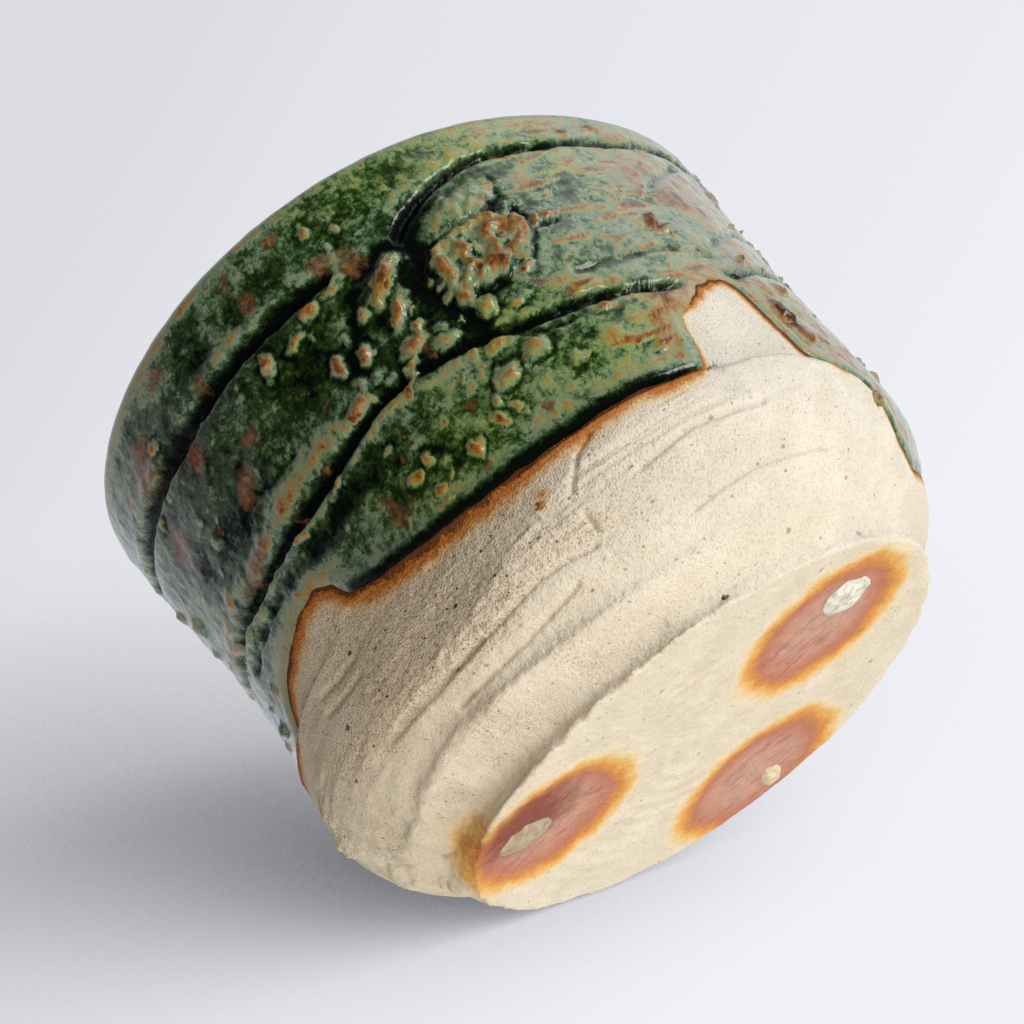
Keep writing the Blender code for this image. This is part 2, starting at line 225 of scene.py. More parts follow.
def clay_relief(turn, height):
    """How far the scraped and torn clay stands out of the smooth form, in millimetres."""
    spots = on_wall(turn, height)
    front = beside(turn, ROLL_TURN, ROLL_SPREAD)
    drag_share = 0.15 + 0.85 * ease(waver(spots, (9, 9, 5), 2, seed=5.0), 0.05, 0.5)
    dragged = waver(spots, (11, 11, 0.8), 3, seed=3.1) + 0.35 * waver(spots, (7, 7, 0.3), 2, seed=9.0)
    dragged = dragged * drag_share
    swept = waver(spots, (16, 16, 3.4), 2, seed=7.7)
    torn = waver(spots, 0.6, 3, seed=12.3)
    torn_share = 0.2 + 0.8 * ease(waver(spots, (6, 6, 3), 2, seed=21.0), 0.05, 0.45)
    scraped = 1 - ease(height - along(LEDGE, turn), -0.2, 0.1)
    gritty = 0.05 * torn_share + 0.07 * beside(turn, FACET_TURN, FACET_SPREAD)
    relief = scraped * (SCRAPED_RISE + 0.2 * dragged + 0.18 * swept + gritty * torn)
    relief = relief + (1 - scraped) * (SCRAPED_RISE - LEDGE_STEP)
    joint_share = 1 + 0.3 * waver(spots, (14, 14, 14), 1, seed=30.2)
    joint_depth = along(JOINT_DEPTH, turn, corner=4.0) * joint_share
    relief = relief - joint_depth * hump(height - along(JOINT, turn, corner=4.0), JOINT_WIDTH)
    roll = height - along(FOOT_ROLL, turn, corner=4.0)
    relief = relief + front * joint_share * (0.9 * hump(roll, 0.75) - 0.3 * hump(roll - 1.7, 0.9))
    pressed = PRESSED_DEPTH * beside(turn, PRESSED_TURN, PRESSED_SPREAD)
    relief = relief - pressed * hump(height - PRESSED_HEIGHT, PRESSED_REACH)
    burr = waver(spots, (3.0, 3.0, 1.2), 5, seed=41.0)
    relief = relief + hump(height - 0.1, 0.65) * (0.15 + (0.45 + 0.45 * front) * burr + FOOT_LIP * front)
    ridge = along(FACET_RIDGE, turn, corner=2.0) + 0.3 * waver(spots, (4, 4, 4), 2, seed=44.0)
    share = np.clip((height - ridge) / (along(LEDGE, turn) - ridge), 0, 1)
    facet = beside(turn, FACET_TURN, FACET_SPREAD)
    relief = relief - facet * scraped * FACET_DEPTH * (1 - (1 - share) ** 2)
    strip = ease(height - along(TORN_EDGE, turn), -0.1, 0.25) * (1 - ease(height - ridge, -0.3, 0.2))
    relief = relief + facet * strip * TORN_RISE * (1 + 1.1 * waver(spots, (1.5, 1.5, 0.8), 3, seed=47.0))
    crumbs = beside(turn, CRUMBLED_TURN, CRUMBLED_SPREAD) * hump(height - CRUMBLED_HEIGHT, CRUMBLED_REACH)
    relief = relief + 0.4 * crumbs * waver(spots, (2.4, 2.4, 1.3), 3, seed=58.0)
    for degrees, up, half, rise in TORN_LUMPS:
        relief = relief + rise * hump(np.hypot(arc(turn, degrees), height - up), half) * (1 + 0.5 * torn)
    for points in SCRATCHES:
        line = hump(stroke(turn, height, points), SCRATCH_WIDTH)
        relief = relief - SCRATCH_DEPTH * line
    return relief


def sandiness_and_shade(turn, height):
    """How far the scraper has dragged the grit out of the clay, from 0 to 1. The same share tints the gritty
    left facet brown as painted shade.
    """
    spots = on_wall(turn, height)
    above = ease(height - along(TORN_EDGE, turn), -1.5, 0.8)
    facet = beside(turn, FACET_TURN - 3, FACET_SPREAD * 1.15) * above
    patches = ease(waver(spots, (6, 6, 3), 2, seed=55.0), 0.0, 0.5) * beside(turn, GRIT_AND_SHADE_TURN, GRIT_AND_SHADE_SPREAD)
    return np.clip(0.1 + facet + 0.45 * patches, 0, 1) * ease(height, 0.1, 0.6)


def ring_wall(name, rows):
    """Adds an open cylinder cut into fine rings, and returns it with each point's row and column."""
    bpy.ops.object.select_all(action="DESELECT")
    bpy.ops.mesh.primitive_cylinder_add(vertices=COLUMNS, radius=1, depth=2, end_fill_type="NOTHING")
    piece = bpy.context.object
    piece.name = name
    mesh = piece.data
    mesh.name = name
    bpy.context.tool_settings.mesh_select_mode = (False, True, False)
    upright = [abs(mesh.vertices[a].co.z - mesh.vertices[b].co.z) > 1 for a, b in mesh.edge_keys]
    mesh.polygons.foreach_set("select", [False] * len(mesh.polygons))
    mesh.vertices.foreach_set("select", [False] * len(mesh.vertices))
    mesh.edges.foreach_set("select", upright)
    bpy.ops.object.mode_set(mode="EDIT")
    bpy.ops.mesh.subdivide_edgering(number_cuts=rows - 2, interpolation="LINEAR", smoothness=0)
    bpy.ops.object.mode_set(mode="OBJECT")
    points = np.empty(len(mesh.vertices) * 3)
    mesh.vertices.foreach_get("co", points)
    x, y, z = points.reshape(-1, 3).T
    row = np.rint((z + 1) / 2 * (rows - 1)).astype(int)
    column = np.rint(np.arctan2(y, x) / (2 * pi) * COLUMNS).astype(int) % COLUMNS
    return piece, (row, column)


def ring_steps(low, high, count):
    """Even steps from a low to a high value, one for each ring."""
    return np.linspace(low, high, count)[:, None]


def mould(piece, places):
    """Moves every point of a piece to its place in millimetres."""
    piece.data.vertices.foreach_set("co", (places * MM).ravel())
    piece.data.update()


def paint(piece, index, name, values):
    """Keeps a value for each point, which the material reads by its name."""
    layer = piece.data.attributes.new(name, "FLOAT", "POINT")
    grid = np.broadcast_to(values, (len(values), COLUMNS))
    layer.data.foreach_set("value", np.ascontiguousarray(grid[index]))


CREASE = radians(70)


def close_ends(piece, poles):
    """Closes an open ring wall: each end to a point, or the two ends to each other."""
    bpy.ops.object.mode_set(mode="EDIT")
    bpy.ops.mesh.select_all(action="DESELECT")
    bpy.ops.mesh.select_non_manifold()
    if poles:
        bpy.ops.mesh.merge(type="COLLAPSE")
    else:
        bpy.ops.mesh.bridge_edge_loops()
    bpy.ops.mesh.select_all(action="SELECT")
    bpy.ops.mesh.normals_make_consistent(inside=False)
    bpy.ops.object.mode_set(mode="OBJECT")
    bpy.ops.object.shade_smooth_by_angle(angle=CREASE)


def finish_piece(piece, material, slot, *nodes):
    """Gives a piece its material and its body, and hides the solids that it stands in for. Its slot is not
    used.
    """
    piece.data.materials.append(material)
    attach(piece, "root")
    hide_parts(*nodes)


class Wire:
    """An output of a shader node. A sum with a number or another wire adds a Math node to its material."""

    def __init__(self, tree, socket=None):
        self.tree = tree
        self.socket = socket

    def node(self, kind, settings, values, output=0):
        """Adds a node, applies its settings, then its sockets' values or links, and returns one output."""
        made = self.tree.nodes.new(kind)
        for name, value in settings.items():
            if name == "stops":
                for _ in range(len(value) - 2):
                    made.color_ramp.elements.new(0.5)
                for element, (place, colour) in zip(made.color_ramp.elements, value):
                    element.position = place
                    element.color = (*colour, 1)
            else:
                setattr(made, name, value)
        for name, value in values.items():
            if isinstance(value, Wire):
                self.tree.links.new(value.socket, made.inputs[name])
            else:
                made.inputs[name].default_value = value
        return Wire(self.tree, made.outputs[output])

    def math(self, operation, first, second):
        return self.node("ShaderNodeMath", {"operation": operation}, {0: first, 1: second})

    def __add__(self, other):
        return self.math("ADD", self, other)

    def __radd__(self, other):
        return self.math("ADD", other, self)

    def __sub__(self, other):
        return self.math("SUBTRACT", self, other)

    def __rsub__(self, other):
        return self.math("SUBTRACT", other, self)

    def __mul__(self, other):
        return self.math("MULTIPLY", self, other)

    def __rmul__(self, other):
        return self.math("MULTIPLY", other, self)

    def between(self, low, high):
        """0 below the low value, 1 above the high one, and eased between them."""
        span = {"Value": self, "From Min": low, "From Max": high}
        return self.node("ShaderNodeMapRange", {"interpolation_type": "SMOOTHSTEP"}, span)

    def ramp(self, *stops):
        return self.node("ShaderNodeValToRGB", {"stops": stops}, {"Fac": self})

    def tint(self, other, share):
        """This colour, turned towards another one by a share."""
        return self.node("ShaderNodeMix", {"data_type": "RGBA"}, {0: share, 6: self, 7: other}, 2)

    def cloud(self, size, detail=3.0, roughness=0.55):
        """Noise at this place, whose features have a size in millimetres."""
        values = {"Vector": self, "Scale": 1 / (size * MM), "Detail": detail, "Roughness": roughness}
        return self.node("ShaderNodeTexNoise", {}, values)

    def specks(self, size, output="Distance"):
        """Cells at this place, with a size in millimetres."""
        return self.node("ShaderNodeTexVoronoi", {}, {"Vector": self, "Scale": 1 / (size * MM)}, output)

    def chance(self, size):
        """A number from 0 to 1 that differs from cell to cell."""
        return self.node("ShaderNodeSeparateColor", {}, {"Color": self.specks(size, "Color")})

    def attribute(self, name):
        return self.node("ShaderNodeAttribute", {"attribute_name": name}, {}, "Fac")

    def place(self):
        return self.node("ShaderNodeTexCoord", {}, {}, "Object")

    def stretched(self, factors):
        return self.node("ShaderNodeVectorMath", {"operation": "MULTIPLY"}, {0: self, 1: factors})

    def shifted(self, place, scale, reach):
        """This place, pushed about by noise of a scale at another place, by a reach in millimetres."""
        push = self.node("ShaderNodeTexNoise", {}, {"Vector": place, "Scale": scale, "Detail": 2}, "Color")
        centred = self.node("ShaderNodeVectorMath", {"operation": "SUBTRACT"}, {0: push, 1: (0.5, 0.5, 0.5)})
        scaled = self.node("ShaderNodeVectorMath", {"operation": "SCALE"}, {0: centred, "Scale": reach * MM})
        return self.node("ShaderNodeVectorMath", {"operation": "ADD"}, {0: self, 1: scaled})

    def bump(self, distance, strength=1.0):
        """Normal of a surface that this height roughens, with its depth in millimetres."""
        values = {"Height": self, "Distance": distance * MM, "Strength": strength}
        return self.node("ShaderNodeBump", {}, values)


def new_material(name):
    """A new material, a wire to start its nodes from, and its shader."""
    made = bpy.data.materials.new(name)
    made.use_nodes = True
    shader = made.node_tree.nodes["Principled BSDF"]
    return made, Wire(made.node_tree), shader


def plug(wire, shader, socket):
    wire.tree.links.new(wire.socket, shader.inputs[socket])


# Iron specks in the clay: size of a cell, reach of its speck, and the share of cells that have one
IRON_SPECKS = ((1.0, 0.12, 0.35), (1.8, 0.10, 0.45), (3.4, 0.08, 0.5), (6.0, 0.06, 0.6))


def bare_clay():
    """Cream sandy clay with dark iron specks, burnt orange along the coat's edge and scorched by the wads,
    and painted shade in brown over its gritty left facet.
    """
    made, start, shader = new_material("bare_clay")
    place = start.place()
    tone = place.cloud(5.0, 4).between(0.35, 0.68)
    colour = tone.ramp((0, (0.665, 0.605, 0.505)), (1, (0.735, 0.675, 0.58)))
    sandy = start.attribute("sandy")
    # Painted shade: a brown tint over the gritty left facet darkens the side that faces away from the window.
    colour = colour.tint((0.58, 0.45, 0.28, 1), sandy * 0.3)
    sand = place.cloud(0.38, 3, 0.65) * 0.7 + place.chance(0.26) * 0.3
    colour = colour.tint((0.33, 0.25, 0.15, 1), sand.between(0.54, 0.76) * (sandy * 0.75 + 0.15))

    wobbled = place.stretched((1, 1, 1.4)).shifted(place, 2200, 0.35)
    for size, reach, share in IRON_SPECKS:
        inside = wobbled.specks(size).between(reach * 1.35, reach * 0.7)
        spot = inside * wobbled.chance(size).between(1 - share, 1.02 - share)
        colour = colour.tint((0.055, 0.042, 0.035, 1), spot * (sandy * 0.6 + 0.4))

    burnt = start.attribute("burnt") + (place.cloud(0.3, 3, 0.6) - 0.5) * 1.1
    burnt = burnt + (place.cloud(2.5, 2) - 0.5) * 0.9
    colour = colour.tint((0.68, 0.43, 0.16, 1), burnt.between(2.1, 1.1) * 0.7)
    colour = colour.tint((0.45, 0.145, 0.018, 1), burnt.between(1.45, 0.65) * 0.95)
    colour = colour.tint((0.07, 0.018, 0.006, 1), burnt.between(0.55, 0.1) * 0.9)

    scar = start.attribute("scar") + (place.cloud(3.5, 5, 0.6) - 0.5) * 0.3
    scar = scar + (place.cloud(0.5, 2) - 0.5) * 0.1
    marked = scar.ramp(
        (0.0, (0.55, 0.34, 0.285)), (0.42, (0.53, 0.29, 0.23)), (0.63, (0.48, 0.19, 0.125)),
        (0.73, (0.62, 0.26, 0.065)), (0.82, (0.74, 0.44, 0.14)), (0.95, (0.80, 0.68, 0.46)),
    )
    streaked = place.stretched((0.22, 1, 1)).cloud(0.9, 4, 0.6).between(0.5, 0.66) * scar.between(0.8, 0.5)
    marked = marked.tint((0.36, 0.10, 0.06, 1), streaked * 0.55)
    ashy = place.cloud(1.6, 3).between(0.5, 0.72) * scar.between(0.62, 0.4)
    marked = marked.tint((0.38, 0.245, 0.225, 1), ashy * 0.7)
    charred = start.attribute("charred") + (place.cloud(1.2, 3) - 0.5) * 0.5
    marked = marked.tint((0.22, 0.05, 0.035, 1), charred.between(0.25, 0.85) * 0.85)
    colour = colour.tint(marked, scar.between(1.0, 0.82))
    plug(colour, shader, "Base Color")

    pits = place.cloud(0.22, 2, 0.6).between(0.42, 0.3)
    beads = place.specks(0.26).between(0.6, 0.1) * 0.5 + place.cloud(0.16, 2, 0.6) * 0.5
    grain = (beads - pits * 0.6) * (sandy * 0.6 + 0.25) + place.cloud(0.9, 3) * 0.45
    plug(grain.bump(0.2), shader, "Normal")
    shader.inputs["Roughness"].default_value = 0.82
    shader.inputs["Specular IOR Level"].default_value = 0.25
    return made


clay = bare_clay()

# Scars: centre across the underside, radius, and how deep the wad bedded in
SCARS = (((14.0, -3.6), 11.4, 0.5), ((0.4, 18.4), 11.8, 0.45), ((-17.0, -8.6), 11.0, 0.55))
# Charred spot at the edge of the third scar
CHAR_PLACE, CHAR_REACH = (-18.2, -12.0, 0.3), 6.5
SCAR_FAR = 2.0
UNDER_ROWS, EDGE_ROWS, SIDE_ROWS, TOP_ROWS = 62, 4, 26, 3
POLE_RADIUS = 0.3
EDGE_ROUND = 0.45


def scar_share(place):
    """Distance of each place from the nearest scar's centre, as a share of that scar's radius."""
    nearest = np.full(place.shape[:-1], SCAR_FAR)
    for (x, y), radius, _ in SCARS:
        nearest = np.minimum(nearest, np.linalg.norm(place - (x, y, 0), axis=-1) / radius)
    return nearest


def underside(x, y):
    """How far the foot's underside lies above the table it stands on."""
    place = np.stack([x, y, np.zeros_like(x)], axis=-1)
    away = np.hypot(x, y)
    hollow = 0.16 + 0.13 * waver(place, 9.0, 2, seed=2.0) + 0.06 * waver(place, 1.1, 2, seed=4.0)
    turning = np.sin(2 * pi * away / 2.1 + 3 * waver(place, 12.0, 1, seed=6.0))
    hollow = hollow + 0.06 * turning * ease(waver(place, 10.0, 1, seed=8.0), -0.1, 0.4)
    for (across, up), radius, depth in SCARS:
        share = np.hypot(x - across, y - up) / (radius * 0.86)
        rough = 1 + 0.35 * waver(place, 1.6, 3, seed=across)
        hollow = hollow + depth * rough * np.clip(1 - share * share, 0, 1)
    return np.maximum(hollow, 0)


def paint_clay(piece, index, places, burnt):
    """Paints what the clay's material reads: scars, char, grit with its brown painted shade, and how far
    below the coat it lies.
    """
    paint(piece, index, "scar", scar_share(places))
    paint(piece, index, "charred", hump(np.linalg.norm(places - CHAR_PLACE, axis=-1), CHAR_REACH))
    paint(piece, index, "sandy", sandiness_and_shade(turns, places[..., 2]))
    paint(piece, index, "burnt", burnt)


foot_slab, index = ring_wall("foot_slab", UNDER_ROWS + EDGE_ROWS + SIDE_ROWS + TOP_ROWS)
side_height = ring_steps(EDGE_ROUND, SEAM, SIDE_ROWS)
side_radius = outside_radius(turns, side_height) + clay_relief(turns, side_height)
edge_turn = ring_steps(0, pi / 2, EDGE_ROWS + 2)[1:-1]
edge_radius = side_radius[0] - EDGE_ROUND * (1 - np.sin(edge_turn))
under_radius = POLE_RADIUS + (side_radius[0] - EDGE_ROUND - POLE_RADIUS) * ring_steps(0, 1, UNDER_ROWS)
under_height = underside(under_radius * np.cos(turns), under_radius * np.sin(turns))
edge_height = under_height[-1] * np.cos(edge_turn) + EDGE_ROUND * (1 - np.cos(edge_turn))
top_radius = POLE_RADIUS + (side_radius[-1] - POLE_RADIUS) * np.array([0.8, 0.4, 0])[:, None]
foot_radius = np.concatenate([under_radius, edge_radius, side_radius, top_radius])
foot_height = [under_height, edge_height, side_height + 0 * turns, np.full((TOP_ROWS, COLUMNS), SEAM)]
foot_height = np.concatenate(foot_height)
foot_places = places_at(turns, foot_radius, foot_height)
mould(foot_slab, foot_places[index])
paint_clay(foot_slab, index, foot_places, np.full_like(foot_height, CUP_HEIGHT))
close_ends(foot_slab, poles=True)
finish_piece(foot_slab, clay, "foot_clay", "base_slab")

# Clay wall
# A band of the same clay, luted to the slab with dragged ridges over the seam and scraped thin by hand.
# The coat covers it from an uneven line upwards and has burnt the clay orange along that line.
# Lower edge of the outside coat, as degrees and height
COAT_EDGE = (
    (0, 7.0), (20, 10), (50, 14), (85, 17), (120, 15.5), (150, 17.5), (180, 19.8), (200, 19.8),
    (205, 20.4), (208, 23), (212, 24.2), (220, 25), (228, 25.6), (233, 25.4), (236, 24.2), (238, 21.9),
    (245, 20.3), (255, 19.0), (265, 18.2), (275, 17.7), (285, 17.6), (292, 17.4), (300, 16.9),
    (304.4, 16.7), (305.4, 17.6), (306, 20.4), (306.8, 22.2), (309.8, 23.2), (312, 23.9), (314.3, 25.0),
    (316.5, 25.5), (319.2, 25.6), (321.2, 24.9), (322.2, 23.4), (322.8, 21.4), (323.5, 19.4),
    (324.3, 17.0), (325.4, 15.2), (327.4, 14.2), (331, 13.6), (334, 13.3), (339, 12.1), (342, 10.3),
    (346, 7.6), (352, 6.3),
)
EDGE_WAVER = 0.22
# Columns to each side that are searched for the nearest point of the edge
EDGE_REACH = 16
# Tongue of bare clay, where the coat ran thin and broke off raggedly
TONGUE_TURN, TONGUE_SPREAD, TONGUE_WAVER = 316, 7.0, 0.4
coat_edge = along(COAT_EDGE, turns, corner=0.5)
coat_edge = coat_edge + EDGE_WAVER * waver(on_wall(turns, coat_edge), 2.2, 2, seed=50.0)
ragged = beside(turns, TONGUE_TURN, TONGUE_SPREAD)
coat_edge = coat_edge + TONGUE_WAVER * ragged * waver(on_wall(turns, coat_edge), 1.2, 3, seed=52.0)


def from_edge(height):
    """Distance in millimetres of each point of a grid on the wall from the coat's lower edge."""
    low = np.minimum(coat_edge, np.roll(coat_edge, -1))
    high = np.maximum(coat_edge, np.roll(coat_edge, -1))
    nearest = np.full(height.shape, CUP_HEIGHT)
    for step in range(-EDGE_REACH, EDGE_REACH + 1):
        across = arc(turns, np.degrees(np.roll(turns, step)))
        up = np.maximum(np.maximum(np.roll(low, step) - height, height - np.roll(high, step)), 0)
        nearest = np.minimum(nearest, np.hypot(across, up))
    return nearest


# How far the burnt edge reaches down, by degrees
BURN_REACH = (
    (0, 0.7), (100, 0.9), (200, 1.1), (214, 1.25), (236, 1.0), (242, 1.25), (300, 1.15), (305, 0.4),
    (309, 0.3), (312, 0.6), (316, 0.75), (320, 0.6), (323, 0.35), (345, 0.36),
)
# Side of the tongue where the thin coat left no burnt line
UNBURNT_TURN, UNBURNT_SPREAD, UNBURNT_RISE = 306.8, 1.8, 0.35
# Orange stain that ran from a melted stone: degrees, height, reach, and how burnt its heart is
STAIN_TURN, STAIN_HEIGHT, STAIN_REACH, STAIN_HEART = 272.4, 14.7, 0.9, 0.75
BARE_ROWS, HIDDEN_ROWS, BRIM_ROWS = 104, 6, 6
# Columns over which the rows of points settle beside the ragged edge
EDGE_CALM = 9
CLAY_COVER = 1.2
CLAY_SINK = 2.2
WALL_THICKNESS = 4.2
INSIDE_COVER = 0.8
CLAY_TOP_DROP = 2.4
clay_wall, index = ring_wall("scraped_wall", BARE_ROWS + 2 * HIDDEN_ROWS + BRIM_ROWS)
bare_top = coat_edge + CLAY_COVER
calm_steps = range(-EDGE_CALM, EDGE_CALM + 1)
calm_edge = sum(np.roll(coat_edge, step) for step in calm_steps) / len(calm_steps)
up_bare = ring_steps(0, 1, BARE_ROWS)
bare_height = SEAM + (calm_edge + CLAY_COVER - SEAM) * up_bare + (coat_edge - calm_edge) * up_bare ** 3
bare_radius = outside_radius(turns, bare_height) + clay_relief(turns, bare_height)
clay_top = rim_height(turns) - CLAY_TOP_DROP
hidden_height = bare_top + (clay_top - bare_top) * ring_steps(0, 1, HIDDEN_ROWS)
hidden_radius = outside_radius(turns, hidden_height) - CLAY_SINK
inside_height = clay_top + (SEAM - clay_top) * ring_steps(0, 1, HIDDEN_ROWS)
inside_radius = outside_radius(turns, inside_height) - WALL_THICKNESS + INSIDE_COVER
brim_share = ring_steps(0, 1, BRIM_ROWS + 2)[1:-1]
brim_radius = hidden_radius[-1] + (inside_radius[0] - hidden_radius[-1]) * brim_share
brim_height = clay_top + 0 * brim_share
wall_radius = np.concatenate([bare_radius, hidden_radius, brim_radius, inside_radius])
wall_height = np.concatenate([bare_height, hidden_height, brim_height, inside_height])
wall_places = places_at(turns, wall_radius, wall_height)
mould(clay_wall, wall_places[index])
below_edge = np.where(wall_height > coat_edge, 0, from_edge(wall_height))
unburnt = UNBURNT_RISE * beside(turns, UNBURNT_TURN, UNBURNT_SPREAD)
burnt = (below_edge + unburnt) / along(BURN_REACH, turns, corner=2.0)
stain = STAIN_HEART + np.hypot(arc(turns, STAIN_TURN), wall_height - STAIN_HEIGHT) / STAIN_REACH
paint_clay(clay_wall, index, wall_places, np.minimum(burnt, stain))
close_ends(clay_wall, poles=False)
finish_piece(clay_wall, clay, "wall_clay", "clay_wall")

# Outside coat
# A thick runny ash glaze over the gouged and lumpy upper wall. It is thin and rusty on what stands out, milky
# green where it lies evenly, and dark green to black where it has pooled in gouges and behind lumps.
# Gouges drawn round the wall through coat and clay, each as (degrees, height) points
UPPER_LEFT_GOUGE = (
    (78, 44.2), (100, 45.2), (120, 46.3), (150, 46.2), (180, 46.3), (200, 46.0), (220, 45.5), (235, 45.0),
    (250, 44.9), (260, 44.6), (268, 44.3),
)
UPPER_RIGHT_GOUGE = (
    (280, 43.2), (282, 44.2), (286, 45.3), (290, 46.2), (295, 46.8), (300, 47.1), (310, 46.8), (320, 46.5),
    (330, 46.8), (345, 47.6), (365, 47.2), (390, 46.0), (415, 45.2), (430, 45.6),
)
MIDDLE_GOUGE = (
    (125, 32.9), (150, 32.3), (170, 31.6), (190, 31.0), (210, 31.3), (225, 30.6), (240, 30.2), (250, 30.4),
    (256, 30.9), (262, 31.6), (268, 31.6), (272, 31.0), (278, 30.2), (283, 29.2), (287, 28.4), (292, 28.0),
    (298, 27.5), (303, 26.7), (308, 25.9), (314, 25.4), (322, 25.6), (332, 27.2), (350, 28.6), (375, 29.4),
    (400, 30.8), (430, 31.2), (455, 32.0), (470, 33.0),
)
GOUGES = (
    (UPPER_LEFT_GOUGE, 0.6, 1.0), (UPPER_RIGHT_GOUGE, 0.48, 1.0), (MIDDLE_GOUGE, 0.52, 1.0),
    (((298, 30.8), (305, 30.5), (311, 30.4), (317, 30.2)), 0.35, 0.35),
    (((284, 28.2), (288, 26.9), (292, 26.4)), 0.3, 0.35),
    (((205, 28.4), (215, 28.6), (226, 28.2)), 0.5, 0.45),
    (((322, 37.5), (333, 41.8), (346, 45.0)), 0.5, 0.45),
    (((326, 30.5), (340, 34.0), (356, 36.0), (372, 36.4)), 0.5, 0.45),
    (((30, 38.0), (50, 39.2), (72, 38.6)), 0.5, 0.5),
    (((140, 39.0), (160, 40.2), (176, 39.6)), 0.45, 0.45),
)
# Ridges of thin coat beside the gouges: points, half width and how bare they are
RIDGES = (
    (((150, 47.4), (180, 47.6), (210, 47.2), (236, 46.3), (250, 46.2), (262, 46.0), (268, 45.7)), 0.75, 0.15),
    (((281, 46.0), (286, 47.2), (292, 48.0), (300, 48.3), (312, 47.9), (330, 48.2)), 0.6, 0.2),
    (((180, 32.8), (212, 32.9), (225, 32.3), (240, 32.3), (252, 32.7), (260, 32.8)), 1.3, 0.36),
    (((205, 29.6), (224, 29.3), (238, 29.0), (250, 29.4), (258, 30.2), (268, 30.6)), 0.6, 0.36),
    (((269, 29.8), (278, 29.2), (283, 28.2)), 0.6, 0.2),
    (((287, 29.3), (296, 28.6), (304, 27.8), (311, 27.2)), 0.5, 0.22),
    (((20, 31.8), (60, 33.0), (100, 34.0)), 0.8, 0.28),
)
# Lumps under the coat: degrees, height, half length, half width, lean in degrees, rise, and bareness on top
LUMPS = (
    (274.7, 40.3, 2.8, 0.85, 38, 1.25, 0.50), (268.8, 38.8, 0.65, 0.6, 0, 0.5, 0.42),
    (261.3, 36.6, 1.05, 0.75, 80, 0.65, 0.55), (265.4, 35.9, 0.95, 0.85, 20, 0.65, 0.52),
    (264.5, 37.8, 0.85, 0.45, 70, 0.4, 0.15), (262.2, 34.1, 0.75, 0.65, 60, 0.5, 0.38),
    (264.6, 33.4, 0.95, 0.55, 20, 0.45, 0.22), (273.2, 36.6, 1.9, 0.7, 52, 0.75, 0.45),
    (275.0, 38.3, 0.85, 0.5, 60, 0.45, 0.15), (272.0, 33.3, 1.4, 0.75, 10, 0.65, 0.48),
    (274.2, 34.6, 0.6, 0.6, 0, 0.5, 0.40), (269.5, 31.9, 1.3, 0.45, 35, 0.5, 0.45),
    (276.0, 31.7, 1.5, 0.8, 0, 0.5, 0.30), (266.2, 32.3, 0.55, 0.5, 0, 0.35, 0.25),
    (281.8, 33.6, 1.15, 0.95, 70, 0.8, 0.48), (283.5, 32.3, 1.15, 0.95, 45, 0.8, 0.38),
    (259.8, 32.7, 1.15, 0.75, 0, 0.45, 0.35), (252.8, 42.0, 1.25, 0.7, 70, 0.8, 0.52),
    (262.8, 42.8, 0.8, 0.7, 0, 0.6, 0.45), (258.5, 41.5, 1.1, 0.55, 0, 0.5, 0.45),
    (268.2, 43.1, 1.4, 0.45, 10, 0.45, 0.32), (290.4, 42.6, 4.1, 1.45, 16, 0.95, 0.18),
    (296.6, 40.4, 1.0, 0.5, 30, 0.7, 0.2), (299.3, 38.0, 0.8, 0.6, 40, 0.6, 0.25),
    (301.4, 38.0, 0.7, 0.45, 75, 0.5, 0.4), (288.2, 31.0, 1.0, 0.5, 0, 0.4, 0.3),
    (292.4, 33.5, 0.55, 0.55, 0, 0.4, 0.3), (317.6, 34.0, 1.1, 0.7, 75, 0.7, 0.5),
    (318.4, 32.4, 1.0, 0.5, 25, 0.6, 0.2), (317.6, 30.3, 0.6, 0.5, 0, 0.4, 0.2),
    (263.0, 24.1, 0.85, 0.65, 150, 0.5, 0.42), (259.3, 24.0, 0.75, 0.6, 30, 0.4, 0.35),
    (269.3, 22.0, 0.75, 0.8, 0, 0.55, 0.45), (279.4, 25.4, 1.1, 0.85, 20, 0.5, 0.32),
    (285.2, 26.0, 1.3, 0.9, 10, 0.5, 0.35), (281.3, 28.7, 0.9, 0.8, 40, 0.35, 0.3),
    (297.0, 26.2, 1.1, 0.6, 160, 0.45, 0.35), (306.9, 24.0, 0.8, 0.9, 90, 0.35, 0.45),
    (305.8, 21.6, 0.7, 0.8, 60, 0.35, 0.45), (274.8, 22.6, 0.6, 0.7, 0, 0.3, 0.38),
    (327.4, 20.6, 1.7, 0.7, 105, 0.9, 0.5), (276.5, 24.0, 0.8, 0.6, 60, 0.35, 0.3),
    (289.0, 23.0, 0.7, 0.8, 0, 0.25, 0.25), (301.0, 20.4, 1.3, 0.5, 10, 0.35, 0.2),
    (249.0, 29.6, 0.7, 0.45, 20, 0.3, 0.45), (237.5, 29.1, 1.1, 0.6, 160, 0.35, 0.4),
)
# Torn scab of coat and clay: its place, half sizes and rise, and the lumps that lie on it
SCAB = (288.3, 37.3, 5.2, 3.5, 8, 0.9)
SCAB_LUMPS = (
    (285.5, 36.9, 2.1, 0.6, 78, 0.25, 0.4),
    (288.2, 34.8, 1.9, 0.7, 15, 0.6, 0.25), (292.3, 38.6, 1.1, 0.9, 20, 0.25, 0.4),
    (295.2, 37.4, 2.1, 0.9, 80, 0.45, 0.3), (293.6, 35.4, 1.2, 0.9, 40, 0.55, 0.25),
    (284.0, 39.2, 1.2, 0.5, 20, 0.2, 0.3), (281.9, 36.8, 0.8, 1.5, 0, 0.3, 0.4),
)
